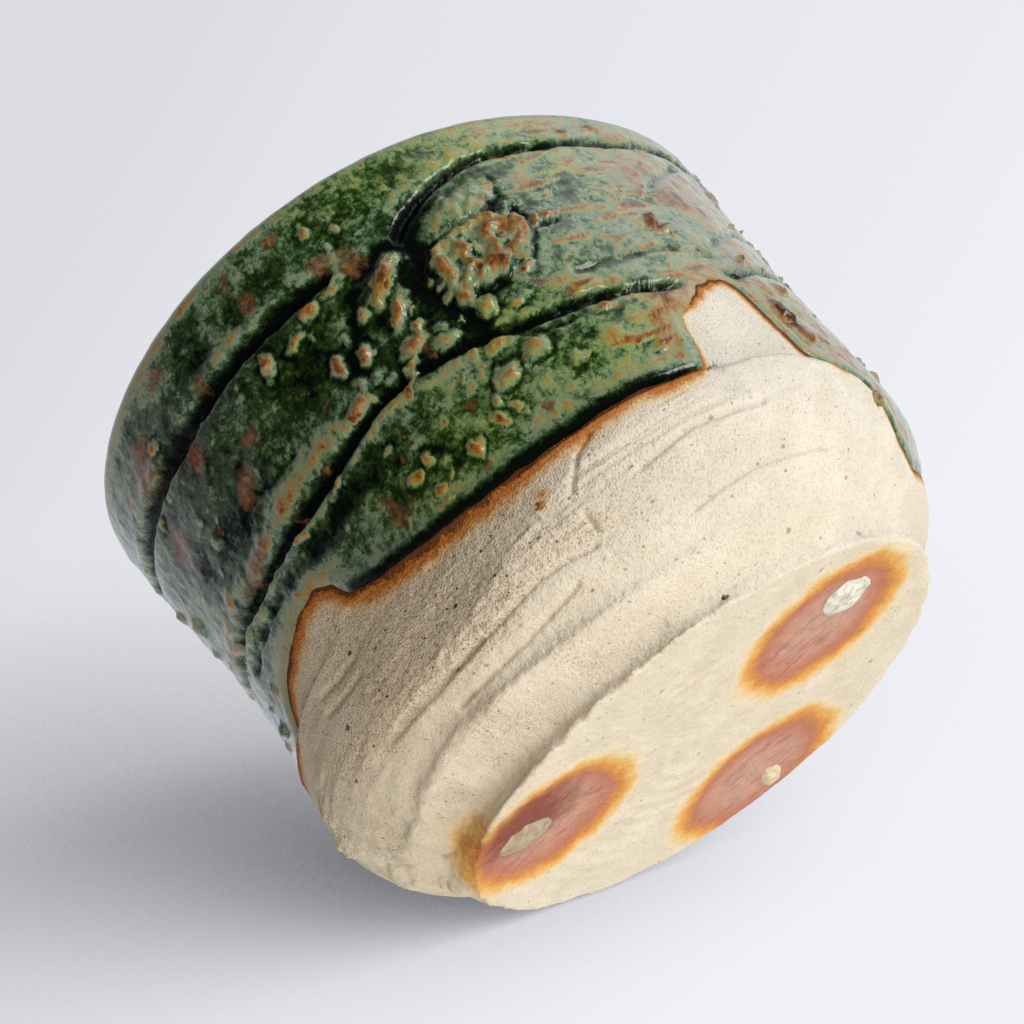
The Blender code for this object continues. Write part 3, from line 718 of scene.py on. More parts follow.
# Pools: degrees, height, half length, half width, lean in degrees, and how much deeper the coat is
POOLS = (
    (278.4, 37.0, 4.0, 1.9, 86, 0.8), (270.2, 37.2, 1.0, 0.45, 90, 0.5), (242.5, 27.2, 6.2, 1.15, 0, 0.6),
    (257.5, 39.4, 3.2, 2.2, 30, 0.33), (255.5, 37.0, 2.2, 1.6, 90, 0.25), (309.6, 42.2, 2.4, 1.6, 60, 0.5),
    (283.3, 44.3, 2.0, 1.3, 40, 0.45), (289.0, 50.3, 3.0, 1.0, 8, 0.2), (245.0, 48.0, 2.0, 1.2, 0, 0.33),
    (253.0, 48.2, 1.0, 1.2, 0, 0.33), (260.5, 48.3, 1.7, 1.0, 0, 0.33), (284.5, 24.8, 1.7, 0.65, 20, 0.4),
    (292.2, 24.5, 1.7, 0.5, 110, 0.33), (297.8, 23.4, 1.6, 0.7, 100, 0.4), (272.6, 25.4, 1.0, 0.65, 0, 0.4),
    (266.0, 25.0, 1.4, 0.4, 130, 0.33), (234.0, 40.5, 1.8, 1.4, 20, 0.28), (268.5, 34.5, 1.6, 1.2, 40, 0.3),
    (237.0, 38.2, 2.0, 0.8, 10, 0.28), (262.0, 40.0, 2.0, 1.0, 30, 0.28), (286.5, 33.0, 1.4, 0.6, 0, 0.35),
    (258.0, 28.2, 4.5, 1.3, 0, 0.18), (305.0, 27.2, 1.2, 0.5, 10, 0.3), (323.5, 22.7, 1.1, 0.5, 40, 0.3),
)
# Dark channels between lumps: points, half width and how much deeper the coat is
CHANNELS = (
    (
        ((262.3, 34.6), (266.5, 37.8), (269.3, 40.9), (273, 42.3), (276.5, 43.0), (280, 42.2), (281.4, 40)),
        0.65, 0.55,
    ),
    (((279.5, 41), (279.7, 37), (279.9, 34), (280.4, 32), (281.3, 30.2)), 0.8, 0.5),
    (
        ((283.8, 33.7), (288, 33.2), (291, 34.4), (293.4, 33.7), (296.6, 35.6), (297.6, 38.6), (297, 39.8)),
        0.3, 0.35,
    ),
    (((291, 38), (291, 35.3)), 0.35, 0.6),
    (((284.7, 37.4), (284.6, 35)), 0.28, 0.45),
    (((287.2, 38), (287.2, 36)), 0.25, 0.4),
    (((282.5, 40.4), (288, 40.6), (293.5, 40.8), (297, 42), (298, 44.2)), 0.3, 0.4),
    (((266.5, 21.5), (265.5, 24), (262.5, 25.5)), 0.3, 0.3),
    (((299.5, 37.2), (302, 37.1)), 0.3, 0.3),
    (((231, 35), (236, 35.4), (241, 34.5), (247, 34.4)), 0.35, 0.3),
)
# Brown patches of iron in the coat: degrees, height, half length, half width and lean in degrees
RUSTY = (
    (236.0, 36.6, 2.6, 1.5, 20), (253.6, 23.2, 2.4, 1.0, 100), (272.3, 43.8, 1.8, 1.5, 60),
    (268.6, 45.6, 1.5, 1.1, 0), (237.0, 51.0, 2.2, 1.1, 0), (256.2, 47.6, 1.7, 0.9, 90),
    (242.4, 46.6, 1.2, 0.8, 90), (256.0, 51.5, 1.6, 1.2, 80), (265.0, 51.0, 1.2, 1.0, 0),
    (284.0, 51.6, 1.5, 0.9, 0), (222.0, 48.0, 4.0, 2.2, 20), (214.0, 41.0, 3.0, 2.0, 40),
    (232.0, 43.0, 2.0, 1.6, 60), (226.0, 32.0, 5.0, 1.0, 0), (272.8, 25.3, 0.9, 0.8, 0),
    (281.0, 20.8, 0.5, 1.0, 0), (269.0, 19.6, 0.6, 1.0, 0), (292.4, 31.3, 0.8, 0.7, 0),
    (294.7, 29.1, 0.6, 0.7, 0), (243.0, 39.0, 1.6, 1.0, 0),
)
# Places strewn by chance: how many of each, how high, and how narrow they are for their length
SCATTER_SEED = 11
SCATTERED_LUMPS = 150
SCATTERED_POOLS = 46
SCATTERED_RUST = 60
SCATTER_HEIGHTS = (16, 51)
SCATTER_NARROWING = (0.45, 0.95)
scatter = np.random.default_rng(SCATTER_SEED)


def scattered(count, low_turn, high_turn, sizes, last):
    """Places strewn over the upper wall by chance, each with half sizes, a lean and further values."""
    made = []
    for _ in range(count):
        turn = scatter.uniform(low_turn, high_turn)
        height = scatter.uniform(*SCATTER_HEIGHTS)
        half = scatter.uniform(*sizes)
        values = [scatter.uniform(low, high) for low, high in last]
        half_width = half * scatter.uniform(*SCATTER_NARROWING)
        made.append((turn, height, half, half_width, scatter.uniform(0, 180), *values))
    return tuple(made)


LUMPS = LUMPS + scattered(SCATTERED_LUMPS, -38, 232, (0.4, 1.3), ((0.15, 0.6), (0.2, 0.5)))
LUMPS = LUMPS + scattered(SCATTERED_LUMPS // 2, 200, 330, (0.25, 0.5), ((0.08, 0.2), (0.15, 0.4)))
POOLS = POOLS + scattered(SCATTERED_POOLS, -30, 232, (1.0, 3.6), ((0.2, 0.5),))
RUSTY = RUSTY + scattered(SCATTERED_RUST, -60, 238, (0.6, 2.6), ())
RUSTY = RUSTY + scattered(SCATTERED_RUST // 2, 225, 330, (0.25, 0.6), ())
LUMPS = LUMPS + scattered(SCATTERED_LUMPS // 4, 257, 283, (0.3, 0.75), ((0.2, 0.5), (0.25, 0.5)))


def oval(turn, height, spot):
    """Distance from a leaning oval's centre, which is 1 on its outline."""
    degrees, up, half_long, half_wide, lean = spot[:5]
    across = arc(turn, degrees)
    rise = height - up
    lengthwise = across * cos(radians(lean)) + rise * sin(radians(lean))
    crosswise = rise * cos(radians(lean)) - across * sin(radians(lean))
    return np.hypot(lengthwise / half_long, crosswise / half_wide)


# Places where the coat is yellower: degrees, height, half length, half width, lean in degrees
YELLOWED = (
    (290, 49.6, 13, 3.4, 0), (266, 23.5, 9, 3.0, -8), (309.6, 42.2, 2.8, 2.0, 60), (286, 30.0, 6, 2.0, -15),
    (296, 23.0, 6, 3.0, -8), (258, 40, 4, 2.5, 20), (120, 30, 20, 9, 10), (40, 42, 18, 6, -10),
)
# Sides of the coat, each as degrees and spread: the one made less yellow as a painted bluish reflection, the
# one made deeper as painted shade and the deeper back, the streaked one, the one made thinner as painted
# sheen, the thin side of the tongue, and the left of the middle gouge, made deeper as painted shade
PAINTED_BLUE_REFLECTION_SIDE, PAINTED_SHADE_FRONT, DEEPER_BACK, STREAKED = (222, 20), (235, 36), (85, 60), (310, 15)
PAINTED_SHEEN_SIDE, THIN_TONGUE, PAINTED_SHADE_LOW_LEFT = (336, 7), (304.6, 2.2), (222, 9)


def yellowness(turn, height):
    """How yellow the coat is at each place, from 0 to 1, kept low on the left for a bluish painted
    reflection.
    """
    spots = on_wall(turn, height)
    # Painted reflection: the left side is made less yellow, which turns its cast bluish.
    most = 0.45 + 0.3 * waver(spots, 6.0, 2, seed=87.0) - 0.35 * beside(turn, *PAINTED_BLUE_REFLECTION_SIDE)
    for spot in YELLOWED:
        most = most + 0.6 * hump(oval(turn, height, spot), 1.0)
    return np.clip(most, 0, 1)


# Depth of the coat, from 0 bare to 1 black: where it lies evenly, on ridges, on bare lumps, and at most
EVEN_DEPTH, RIDGE_DEPTH, BARE_DEPTH, MOST_DEPTH = 0.435, 0.23, 0.08, 1.1
# How much gouges and pools add to it
GOUGE_DEEPER, POOL_DEEPER = 0.72, 0.62
# How far ridges stand out, and pools and channels dip, in millimetres
RIDGE_RISE, POOL_DIP, CHANNEL_DIP = 0.18, 0.22, 0.2


def dome(share):
    """Height of a rounded lump, by the share of the way to its outline."""
    return np.clip(1 - share * share, 0, 1) ** 0.75


def coat_form(turn, height):
    """Relief of the coated wall in millimetres, depth of the coat from 0 bare to 1 black, which also carries
    painted shade on the left and painted sheen at the far right, and its rust.
    """
    spots = on_wall(turn, height)
    shift_round = waver(spots, 1.5, 3, seed=61.0)
    shift_up = waver(spots, 1.5, 3, seed=67.0)
    line_turn = turn + shift_round * 0.12 / RIM_RADIUS
    line_height = height + shift_up * 0.12
    turn = turn + (shift_round * 0.5 + waver(spots, 0.6, 2, seed=63.0) * 0.16) / RIM_RADIUS
    height = height + shift_up * 0.5 + waver(spots, 0.6, 2, seed=69.0) * 0.16
    broad = waver(spots, (7, 7, 4.5), 2, seed=71.0)
    fine = waver(spots, 1.3, 3, seed=73.0)
    relief = 0.2 * broad + 0.07 * fine
    # Painted shade: the coat's front left is made deeper, and so darker, on the side away from the window;
    # the back is deeper in its own right.
    shaded_front_deeper_back = np.maximum(beside(line_turn, *PAINTED_SHADE_FRONT), 0.5 * beside(line_turn, *DEEPER_BACK))
    depth = EVEN_DEPTH + 0.26 * shaded_front_deeper_back - 0.07 * broad - 0.08 * fine
    for points, width, share in GOUGES:
        cut = hump(stroke(line_turn, line_height, points), width)
        relief = relief - share * cut
        depth = depth + GOUGE_DEEPER * share * cut
    for points, width, bareness in RIDGES:
        line = hump(stroke(line_turn, line_height, points), width) * (0.75 + 0.5 * fine)
        relief = relief + RIDGE_RISE * line
        depth = depth + (RIDGE_DEPTH - depth) * np.clip(2.7 * bareness * line, 0, 0.95)
    for spot in POOLS:
        hollow = hump(oval(turn, height, spot), 1.0)
        relief = relief - POOL_DIP * spot[5] * hollow
        depth = depth + POOL_DEEPER * spot[5] * hollow
    for points, width, deeper in CHANNELS:
        line = hump(stroke(turn, height, points), width)
        relief = relief - CHANNEL_DIP * line
        depth = depth + deeper * line
    scab = ease(1.12 - oval(turn, height, SCAB), 0, 0.3)
    relief = relief + SCAB[5] * scab * (1 + 0.4 * fine)
    depth = depth - scab * (0.22 + 0.2 * fine)
    knobbly = 1 + 0.3 * waver(spots, 0.55, 2, seed=77.0)
    crust = scab * ease(waver(spots, (1.5, 1.5, 1.1), 3, seed=89.0), -0.2, 0.3)
    relief = relief + 0.3 * crust
    ringed, fringed = np.zeros((2, *relief.shape))
    raised = np.zeros_like(relief)
    bared = 0.65 * crust
    for spot in LUMPS + SCAB_LUMPS:
        share = oval(turn, height, spot)
        strength = min(1, spot[5] / 0.5)
        raised = np.maximum(raised, spot[5] * dome(share) * knobbly)
        bared = np.maximum(bared, spot[6] / 0.5 * dome(share * 0.92))
        ringed = np.maximum(ringed, strength * hump(share - 1.5, 0.32))
        fringed = np.maximum(fringed, strength * hump(share - 1.05, 0.2))
    thin = ease(waver(spots, (4.5, 4.5, 3), 3, seed=79.0), 0.0, 0.45)
    streaks = waver(spots, (4.5, 4.5, 0.9), 3, seed=83.0) * beside(turn, *STREAKED)
    relief = relief + 0.16 * streaks
    depth = depth - 0.3 * ease(streaks, 0.1, 0.5)
    depth = depth - 0.14 * thin - 0.25 * beside(turn, *THIN_TONGUE) * hump(height - 21, 4)
    # Painted sheen lightens the far right, and painted shade darkens the left of the middle gouge.
    depth = depth - 0.2 * beside(turn, *PAINTED_SHEEN_SIDE) + 0.08 * beside(turn, *PAINTED_SHADE_LOW_LEFT) * hump(height - 29, 8)
    depth = np.minimum(depth + 0.24 * ringed * (1 - fringed) - 0.1 * fringed, MOST_DEPTH)
    bared = np.minimum(bared, 1)
    rust = np.maximum(0.42 * ease(bared, 0.6, 1.0), 0.6 * ease(streaks, 0.3, 0.6))
    for spot in RUSTY:
        rust = np.maximum(rust, hump(oval(turn, height, spot), 1.0))
    return relief + raised, depth + (BARE_DEPTH - depth) * bared, rust


# How much the coat has pooled along its lower edge, by degrees
EDGE_POOL = (
    (0, 0.5), (60, 0.8), (110, 0.3), (160, 0.7), (200, 0.2), (235, 0.05), (241, 0.9), (270, 1.0), (296, 0.95),
    (303, 0.5), (306, 0.05), (322, 0.1), (330, 0.35), (345, 0.4),
)
FACE_ROWS, RIM_ROWS, LAP_ROWS, BACK_ROWS = 128, 12, 5, 5
RIM_ROUND = 1.5
RIM_LAP = 1.7
COAT_BASE = 0.35
COAT_ROLL, COAT_ROLL_PLACE, COAT_ROLL_WIDTH = 0.3, 0.8, 0.6
COAT_BACK, COAT_BACK_RISE = 1.9, 0.3
# How far the coat's lower edge is let into the clay
COAT_EDGE_BED = 0.12
outer_coat, index = ring_wall("green_coat", FACE_ROWS + RIM_ROWS + LAP_ROWS + BACK_ROWS)
shoulder = rim_height(turns) - RIM_ROUND
up_face = ring_steps(0, 1, FACE_ROWS)
face_height = calm_edge + (shoulder - calm_edge) * up_face + (coat_edge - calm_edge) * (1 - up_face) ** 6
edge_away = from_edge(face_height)
face_relief, face_depth, face_rust = coat_form(turns, face_height)
settled = ease(edge_away, 0.4, 2.6) * ease(shoulder - face_height, -0.6, 2.0)
fullness = along(EDGE_POOL, turns, corner=2.0)
roll = COAT_ROLL * (0.2 + 0.8 * fullness) * hump(edge_away - COAT_ROLL_PLACE, COAT_ROLL_WIDTH)
skin = COAT_BASE * (1 - np.exp(-edge_away / (1.1 - 0.8 * fullness))) + roll
bed = outside_radius(turns, face_height) + (SCRAPED_RISE - LEDGE_STEP)
under_edge = outside_radius(turns, coat_edge) + clay_relief(turns, coat_edge[None])[0] - COAT_EDGE_BED
face_radius = bed + skin + settled * face_relief
face_radius[0] = np.minimum(face_radius[0], under_edge)
edge_pool = fullness * hump(edge_away - 0.3, 0.6)
edge_ridge = hump(edge_away - 2.2, 1.0)
edge_depth = 0.2 + 0.35 * fullness
face_depth = face_depth * settled + edge_depth * (1 - settled)
face_depth = face_depth + 0.6 * edge_pool - 0.14 * edge_ridge
rim_turn = ring_steps(0, pi, RIM_ROWS + 2)[1:-1]
rim_middle = face_radius[-1] - WALL_THICKNESS / 2
rim_bumps = 0.12 * waver(on_wall(turns, rim_height(turns)), 3.0, 2, seed=81.0)
rim_radius = rim_middle + WALL_THICKNESS / 2 * np.cos(rim_turn)
rim_top = shoulder + (RIM_ROUND + rim_bumps) * np.sin(rim_turn)
lap_share = ring_steps(0, 1, LAP_ROWS)
lap_height = shoulder - RIM_LAP * lap_share
lap_end = shoulder - RIM_LAP


def inside_relief(turn, height):
    """Soft unevenness of the coated inside, left by fingers and runs of glaze."""
    spots = on_wall(turn, height)
    return 0.22 * waver(spots, (10, 10, 5), 2, seed=91.0) + 0.06 * waver(spots, 1.6, 2, seed=93.0)


def inside_depth(turn, height):
    """Depth of the inside coat: thin and rusty under the rim, deep green towards the floor."""
    spots = on_wall(turn, height)
    runs = waver(spots, (1.6, 1.6, 9), 3, seed=97.0)
    clouds = waver(spots, 3.2, 3, seed=99.0)
    drop = (rim_height(turn) - height) / CUP_HEIGHT
    return 0.40 + 0.34 * ease(drop, 0.25, 0.95) + 0.16 * runs + 0.14 * clouds - 0.16 * hump(drop, 0.05)


lap_radius = outside_radius(turns, lap_height) - WALL_THICKNESS + inside_relief(turns, lap_height)
lap_radius = lap_radius * lap_share + (rim_middle - WALL_THICKNESS / 2) * (1 - lap_share)
back_height = lap_end + (coat_edge + COAT_BACK_RISE - lap_end) * ring_steps(0, 1, BACK_ROWS)
back_radius = outside_radius(turns, back_height) - COAT_BACK
coat_radius = np.concatenate([face_radius, rim_radius, lap_radius, back_radius])
coat_height = np.concatenate([face_height, rim_top, lap_height, back_height])
mould(outer_coat, places_at(turns, coat_radius, coat_height)[index])
rim_depth = 0.38 + 0.16 * waver(on_wall(turns, rim_top), 2.0, 2, seed=85.0) + 0 * rim_top
lap_depth = rim_depth[-1] + (inside_depth(turns, lap_height) - rim_depth[-1]) * lap_share
back_depth = np.full_like(back_height, 0.5)
rim_fade = ease(shoulder - face_height, 0.7, 0.0)
face_depth = face_depth * (1 - rim_fade) + rim_depth[0] * rim_fade
paint(outer_coat, index, "glaze_depth", np.concatenate([face_depth, rim_depth, lap_depth, back_depth]))
paint(outer_coat, index, "yellow", yellowness(turns, coat_height))
other_rust = np.zeros((RIM_ROWS + LAP_ROWS + BACK_ROWS, COLUMNS))
paint(outer_coat, index, "rust", np.concatenate([face_rust * settled, other_rust]))
close_ends(outer_coat, poles=False)


def ash_glaze(name):
    """Runny ash glaze, coloured by how deep it lies, a depth that also holds painted shade and sheen: rust,
    ochre, milky celadon, bottle green and black, and bluish as a painted reflection where it is least yellow.
    """
    made, start, shader = new_material(name)
    place = start.place()
    curled = place.shifted(place, 900, 0.9)
    mottle = curled.cloud(0.85, 4, 0.6) - 0.5
    fine = place.cloud(0.28, 3, 0.6) - 0.5
    islands = curled.cloud(1.5, 5, 0.62).between(0.40, 0.60) - 0.5
    crossing = curled.cloud(2.4, 2) - 0.5
    veins = start.math("ABSOLUTE", crossing, 0).between(0.1, 0.0)
    patchy = place.cloud(4.5, 2).between(0.44, 0.6)
    freckled = curled.specks(1.7)
    chosen = place.cloud(2.6, 2).between(0.48, 0.6)
    laid = start.attribute("glaze_depth")
    flecks = curled.cloud(0.5, 4, 0.6).between(0.42, 0.58) - 0.5
    broken = laid.between(0.1, 0.42) * 0.45 + 0.55
    depth = laid + (islands * 0.12 + mottle * 0.30 + fine * 0.30 + flecks * 0.12) * broken
    depth = depth + veins * patchy * 0.13 - freckled.between(0.36, 0.12) * chosen * 0.2
    colour = depth.ramp(
        (0.0, (0.065, 0.024, 0.008)), (0.10, (0.165, 0.06, 0.013)), (0.18, (0.26, 0.12, 0.027)),
        (0.26, (0.285, 0.195, 0.065)), (0.34, (0.255, 0.245, 0.115)), (0.41, (0.19, 0.26, 0.15)),
        (0.49, (0.135, 0.215, 0.13)), (0.56, (0.075, 0.135, 0.07)), (0.64, (0.030, 0.066, 0.020)),
        (0.75, (0.010, 0.028, 0.004)), (0.95, (0.002, 0.004, 0.003)),
    )
    warm = start.attribute("yellow") + (place.cloud(1.2, 3) - 0.5) * 0.8
    # The bluish end of the cast, which the left of the coat gets, is a painted reflection of the pale room.
    cast = warm.ramp((0.1, (0.98, 0.94, 1.2)), (0.45, (1.0, 1.0, 0.95)), (0.95, (1.12, 1.05, 0.5)))
    multiplied = {"data_type": "RGBA", "blend_type": "MULTIPLY"}
    colour = start.node("ShaderNodeMix", multiplied, {0: 0.8, 6: colour, 7: cast}, 2)
    iron = start.attribute("rust") + mottle * 1.1 + fine * 0.6
    brown = place.cloud(0.6, 2).ramp(
        (0.35, (0.05, 0.026, 0.02)), (0.5, (0.13, 0.05, 0.02)), (0.68, (0.26, 0.10, 0.025)),
    )
    colour = colour.tint(brown, iron.between(0.34, 0.8) * 0.8)
    dots = freckled.between(0.15, 0.06) * chosen
    colour = colour.tint((0.13, 0.045, 0.015, 1), dots * depth.between(0.7, 0.5) * 0.8)
    plug(colour, shader, "Base Color")
    dry = depth.between(0.3, 0.0) * 0.1 + depth.between(0.8, 1.0) * 0.08 + 0.12 + place.cloud(0.5, 2) * 0.08
    plug(dry, shader, "Roughness")
    plug(depth.between(0.98, 0.78) * 0.65, shader, "Coat Weight")
    shader.inputs["Coat Roughness"].default_value = 0.18
    shader.inputs["Specular IOR Level"].default_value = 0.1
    wave = place.cloud(0.9, 3) * 0.6 + place.cloud(0.3, 2) * 0.3 - depth.between(-0.1, 0.8) * 0.9
    plug(wave.bump(0.12, 0.8), shader, "Normal")
    return made


finish_piece(outer_coat, ash_glaze("ash_glaze_outside"), "green_coat", "outer_glaze")

# Inside coat
# The same glaze lines the cup. It starts under the outside coat's lap at the rim, runs down the wall and has
# pooled in the bottom, deep and glossy.
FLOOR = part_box("liner_glaze")[0].z / MM + 1.3
POOL_ROUND = 5.0
FLOOR_ROWS, ROUND_ROWS, LINING_ROWS, LINER_BACK_ROWS = 34, 14, 74, 8
LINER_THICKNESS = 0.6
# How far the liner goes on under the floor, and how far its back is tucked in there
LINER_UNDER, LINER_TUCK = 0.9, 3.5
liner_rows = FLOOR_ROWS + ROUND_ROWS + LINING_ROWS + LINER_BACK_ROWS
liner, index = ring_wall("inside_coat", liner_rows)
lining_height = FLOOR + POOL_ROUND + (lap_end - FLOOR - POOL_ROUND) * ring_steps(0, 1, LINING_ROWS)
lining_radius = outside_radius(turns, lining_height) - WALL_THICKNESS + inside_relief(turns, lining_height)
round_turn = ring_steps(0, pi / 2, ROUND_ROWS + 1)[:-1]
round_radius = lining_radius[0] - POOL_ROUND * (1 - np.sin(round_turn))
round_height = FLOOR + POOL_ROUND * (1 - np.cos(round_turn)) + 0 * turns
floor_radius = POLE_RADIUS + (round_radius[0] - POLE_RADIUS) * ring_steps(0, 1, FLOOR_ROWS + 1)[:-1]
floor_places = places_at(turns, floor_radius, 0.0)
floor_fade = ease(round_radius[0] - floor_radius, 0, 5)
floor_height = FLOOR + 0.12 * waver(floor_places, 6.0, 2, seed=101.0) * floor_fade
lining_back = lap_end + (FLOOR - LINER_UNDER - lap_end) * ring_steps(0, 1, LINER_BACK_ROWS - 1)
lining_back_radius = outside_radius(turns, lining_back) - WALL_THICKNESS + LINER_THICKNESS
lining_back_radius[-1] = lining_back_radius[-1] - LINER_TUCK
liner_radius = [floor_radius, round_radius, lining_radius, lining_back_radius]
liner_radius.append(np.full((1, COLUMNS), POLE_RADIUS))
liner_height = [floor_height, round_height, lining_height, lining_back]
liner_height.append(np.full((1, COLUMNS), FLOOR - LINER_UNDER))
mould(liner, places_at(turns, np.concatenate(liner_radius), np.concatenate(liner_height))[index])
floor_depth = 0.74 + 0.16 * waver(floor_places, 4.0, 3, seed=103.0)
liner_depth = [floor_depth, inside_depth(turns, round_height), inside_depth(turns, lining_height)]
liner_depth.append(np.full((LINER_BACK_ROWS, COLUMNS), 0.5))
paint(liner, index, "glaze_depth", np.concatenate(liner_depth))
paint(liner, index, "rust", np.zeros((liner_rows, COLUMNS)))
paint(liner, index, "yellow", np.full((liner_rows, COLUMNS), 0.6))
close_ends(liner, poles=True)
finish_piece(liner, ash_glaze("ash_glaze_inside"), "inside_coat", "liner_glaze")

# Wad crusts
# Chalky scraps of the three wads that held the cup off the shelf. They stayed stuck in the scars when the
# wads were knocked off, pale and crumbly, and lie flush with the foot.
# Place across the underside, half sizes, turn in degrees and colour
CRUSTS = (
    ((17.2, -5.0), (2.5, 3.0), -12, (0.74, 0.74, 0.70)),
    ((1.6, 22.6), (1.2, 2.2), 6, (0.72, 0.62, 0.44)),
    ((-19.3, -9.2), (2.9, 2.3), 30, (0.44, 0.36, 0.26)),
)
CRUST_FACES = 5
CRUST_DEPTH = 0.5


def chalk(name, pale):
    """Crumbly fired wad clay with darker pits."""
    made, start, shader = new_material(name)
    place = start.place()
    dark = tuple(part * 0.62 for part in pale)
    colour = place.cloud(0.7, 4).ramp((0.32, dark), (0.56, pale))
    colour = colour.tint((0.22, 0.15, 0.10, 1), place.cloud(0.35, 2).between(0.62, 0.74) * 0.6)
    plug(colour, shader, "Base Color")
    plug((place.cloud(0.3, 3) + place.cloud(1.2, 2)).bump(0.05), shader, "Normal")
    shader.inputs["Roughness"].default_value = 0.9
    return made


def lump_of(name, faces):
    """Adds a fine ball to be shaped by moving its points, and returns it with their places."""
    bpy.ops.object.select_all(action="DESELECT")
    bpy.ops.mesh.primitive_ico_sphere_add(subdivisions=faces, radius=1)
    piece = bpy.context.object
    piece.name = name
    piece.data.name = name
    bpy.ops.object.shade_smooth()
    places = np.empty(len(piece.data.vertices) * 3)
    piece.data.vertices.foreach_get("co", places)
    return piece, places.reshape(-1, 3)


for number, ((x, y), (wide, long), turn, pale) in enumerate(CRUSTS, 1):
    crust, ball = lump_of(f"chalk_crust_{number}", CRUST_FACES)
    ragged = 1 + 0.16 * waver(ball * (1, 1, 0.3), 0.7, 3, seed=7.0 * number)
    across = ball[:, 0] * wide * ragged
    up = ball[:, 1] * long * ragged
    lean = radians(turn)
    plan_x = x + across * cos(lean) - up * sin(lean)
    plan_y = y + across * sin(lean) + up * cos(lean)
    roof = underside(plan_x, plan_y)
    sink = 0.12 + 0.06 * (waver(ball, 0.35, 2, seed=3.0 * number) + 0.5)
    thick = np.clip(1 - (ball[:, 0] ** 2 + ball[:, 1] ** 2), 0, 1) ** 0.8
    below = np.maximum(roof - CRUST_DEPTH * thick * (0.75 + sink), 0.0)
    z = np.where(ball[:, 2] < 0, below, roof + 0.25 * thick)
    mould(crust, np.stack([plan_x, plan_y, z], axis=-1))
    finish_piece(crust, chalk(f"chalk_{number}", pale), "wad_crust", f"wad_crust_{number}")

# Stones
# Three bits of iron-bearing rock that were in the clay. They came to its surface as it was scraped, and
# melted brown in the fire, which fixed them there.
# Turn in degrees, height, radius and colour
STONES = {
    "foot_stone": (289, 0.95, 0.75, (0.20, 0.11, 0.06)),
    "side_stone": (339, 11.2, 1.15, (0.30, 0.20, 0.07)),
    "front_stone": (271, 13.9, 0.85, (0.46, 0.19, 0.04)),
}
STONE_FACES = 4
STONE_OUT = 0.25


def melted_stone(name, brown):
    made, start, shader = new_material(name)
    place = start.place()
    dark = tuple(part * 0.3 for part in brown)
    colour = place.cloud(0.5, 3).ramp((0.36, dark), (0.6, brown))
    plug(colour, shader, "Base Color")
    plug(place.cloud(0.3, 3).bump(0.15), shader, "Normal")
    shader.inputs["Roughness"].default_value = 0.5
    return made


for name, (degrees, height, radius, brown) in STONES.items():
    stone, ball = lump_of(f"melted_{name}", STONE_FACES)
    turn = radians(degrees)
    surface = np.array([[height]])
    away = (outside_radius(turn, surface) + clay_relief(turn, surface))[0, 0] - radius * (1 - STONE_OUT)
    rough = ball * radius * (1 + 0.35 * waver(ball, 0.8, 3, seed=degrees)[:, None])
    mould(stone, rough + (away * cos(turn), away * sin(turn), height))
    finish_piece(stone, melted_stone(f"{name}_melt", brown), "clay_stone", name)

# Table, light and camera
# The cup lies tipped on a pale table, on the curve of its foot, with a window to the right.
# Seen from above it stands on a floor instead. Both only carry its shadow, over the pale world behind.
CAMERA_AWAY = 260.0
CAMERA_RISE, CAMERA_ROLL = radians(-24.26), radians(39.38)
CAMERA_LENS = 93.2
CAMERA_AIM_RIGHT, CAMERA_AIM_UP = -3.98, 2.13
TABLE_TILT = radians(12)
# Ways to the light and to the window, as shares of the photo's right, its up and towards its camera
LIGHT_WAY, WINDOW_WAY = (0.74, 0.50, 0.45), (0.48, 0.86, -0.1)
WINDOW_GLOW = (1.2, 1.2, 1.2)
towards_camera = Vector((0, -cos(CAMERA_RISE), sin(CAMERA_RISE)))
level = Vector((1, 0, 0))
upright = level.cross(-towards_camera)
image_right = cos(CAMERA_ROLL) * level - sin(CAMERA_ROLL) * upright
image_up = sin(CAMERA_ROLL) * level + cos(CAMERA_ROLL) * upright
middle = Vector((0, 0, CUP_HEIGHT / 2))
camera_place = middle + CAMERA_AWAY * towards_camera
aim = middle + CAMERA_AIM_RIGHT * image_right + CAMERA_AIM_UP * image_up
back = (camera_place - aim).normalized()
right = image_up.cross(back).normalized()
camera_data = bpy.data.cameras.new("photo_view")
camera_data.lens = CAMERA_LENS
camera_data.clip_start = 0.01
camera = bpy.data.objects.new("photo_view", camera_data)
axes = Matrix((right, back.cross(right), back)).transposed().to_4x4()
camera.matrix_world = Matrix.Translation(camera_place * MM) @ axes
bpy.context.scene.collection.objects.link(camera)
bpy.context.scene.camera = camera

table_up = (cos(TABLE_TILT) * image_up + sin(TABLE_TILT) * towards_camera).normalized()


def photo_way(across, up, near):
    """A direction in the photo's frame."""
    return (across * image_right + up * image_up + near * towards_camera).normalized()


light_from = photo_way(*LIGHT_WAY)


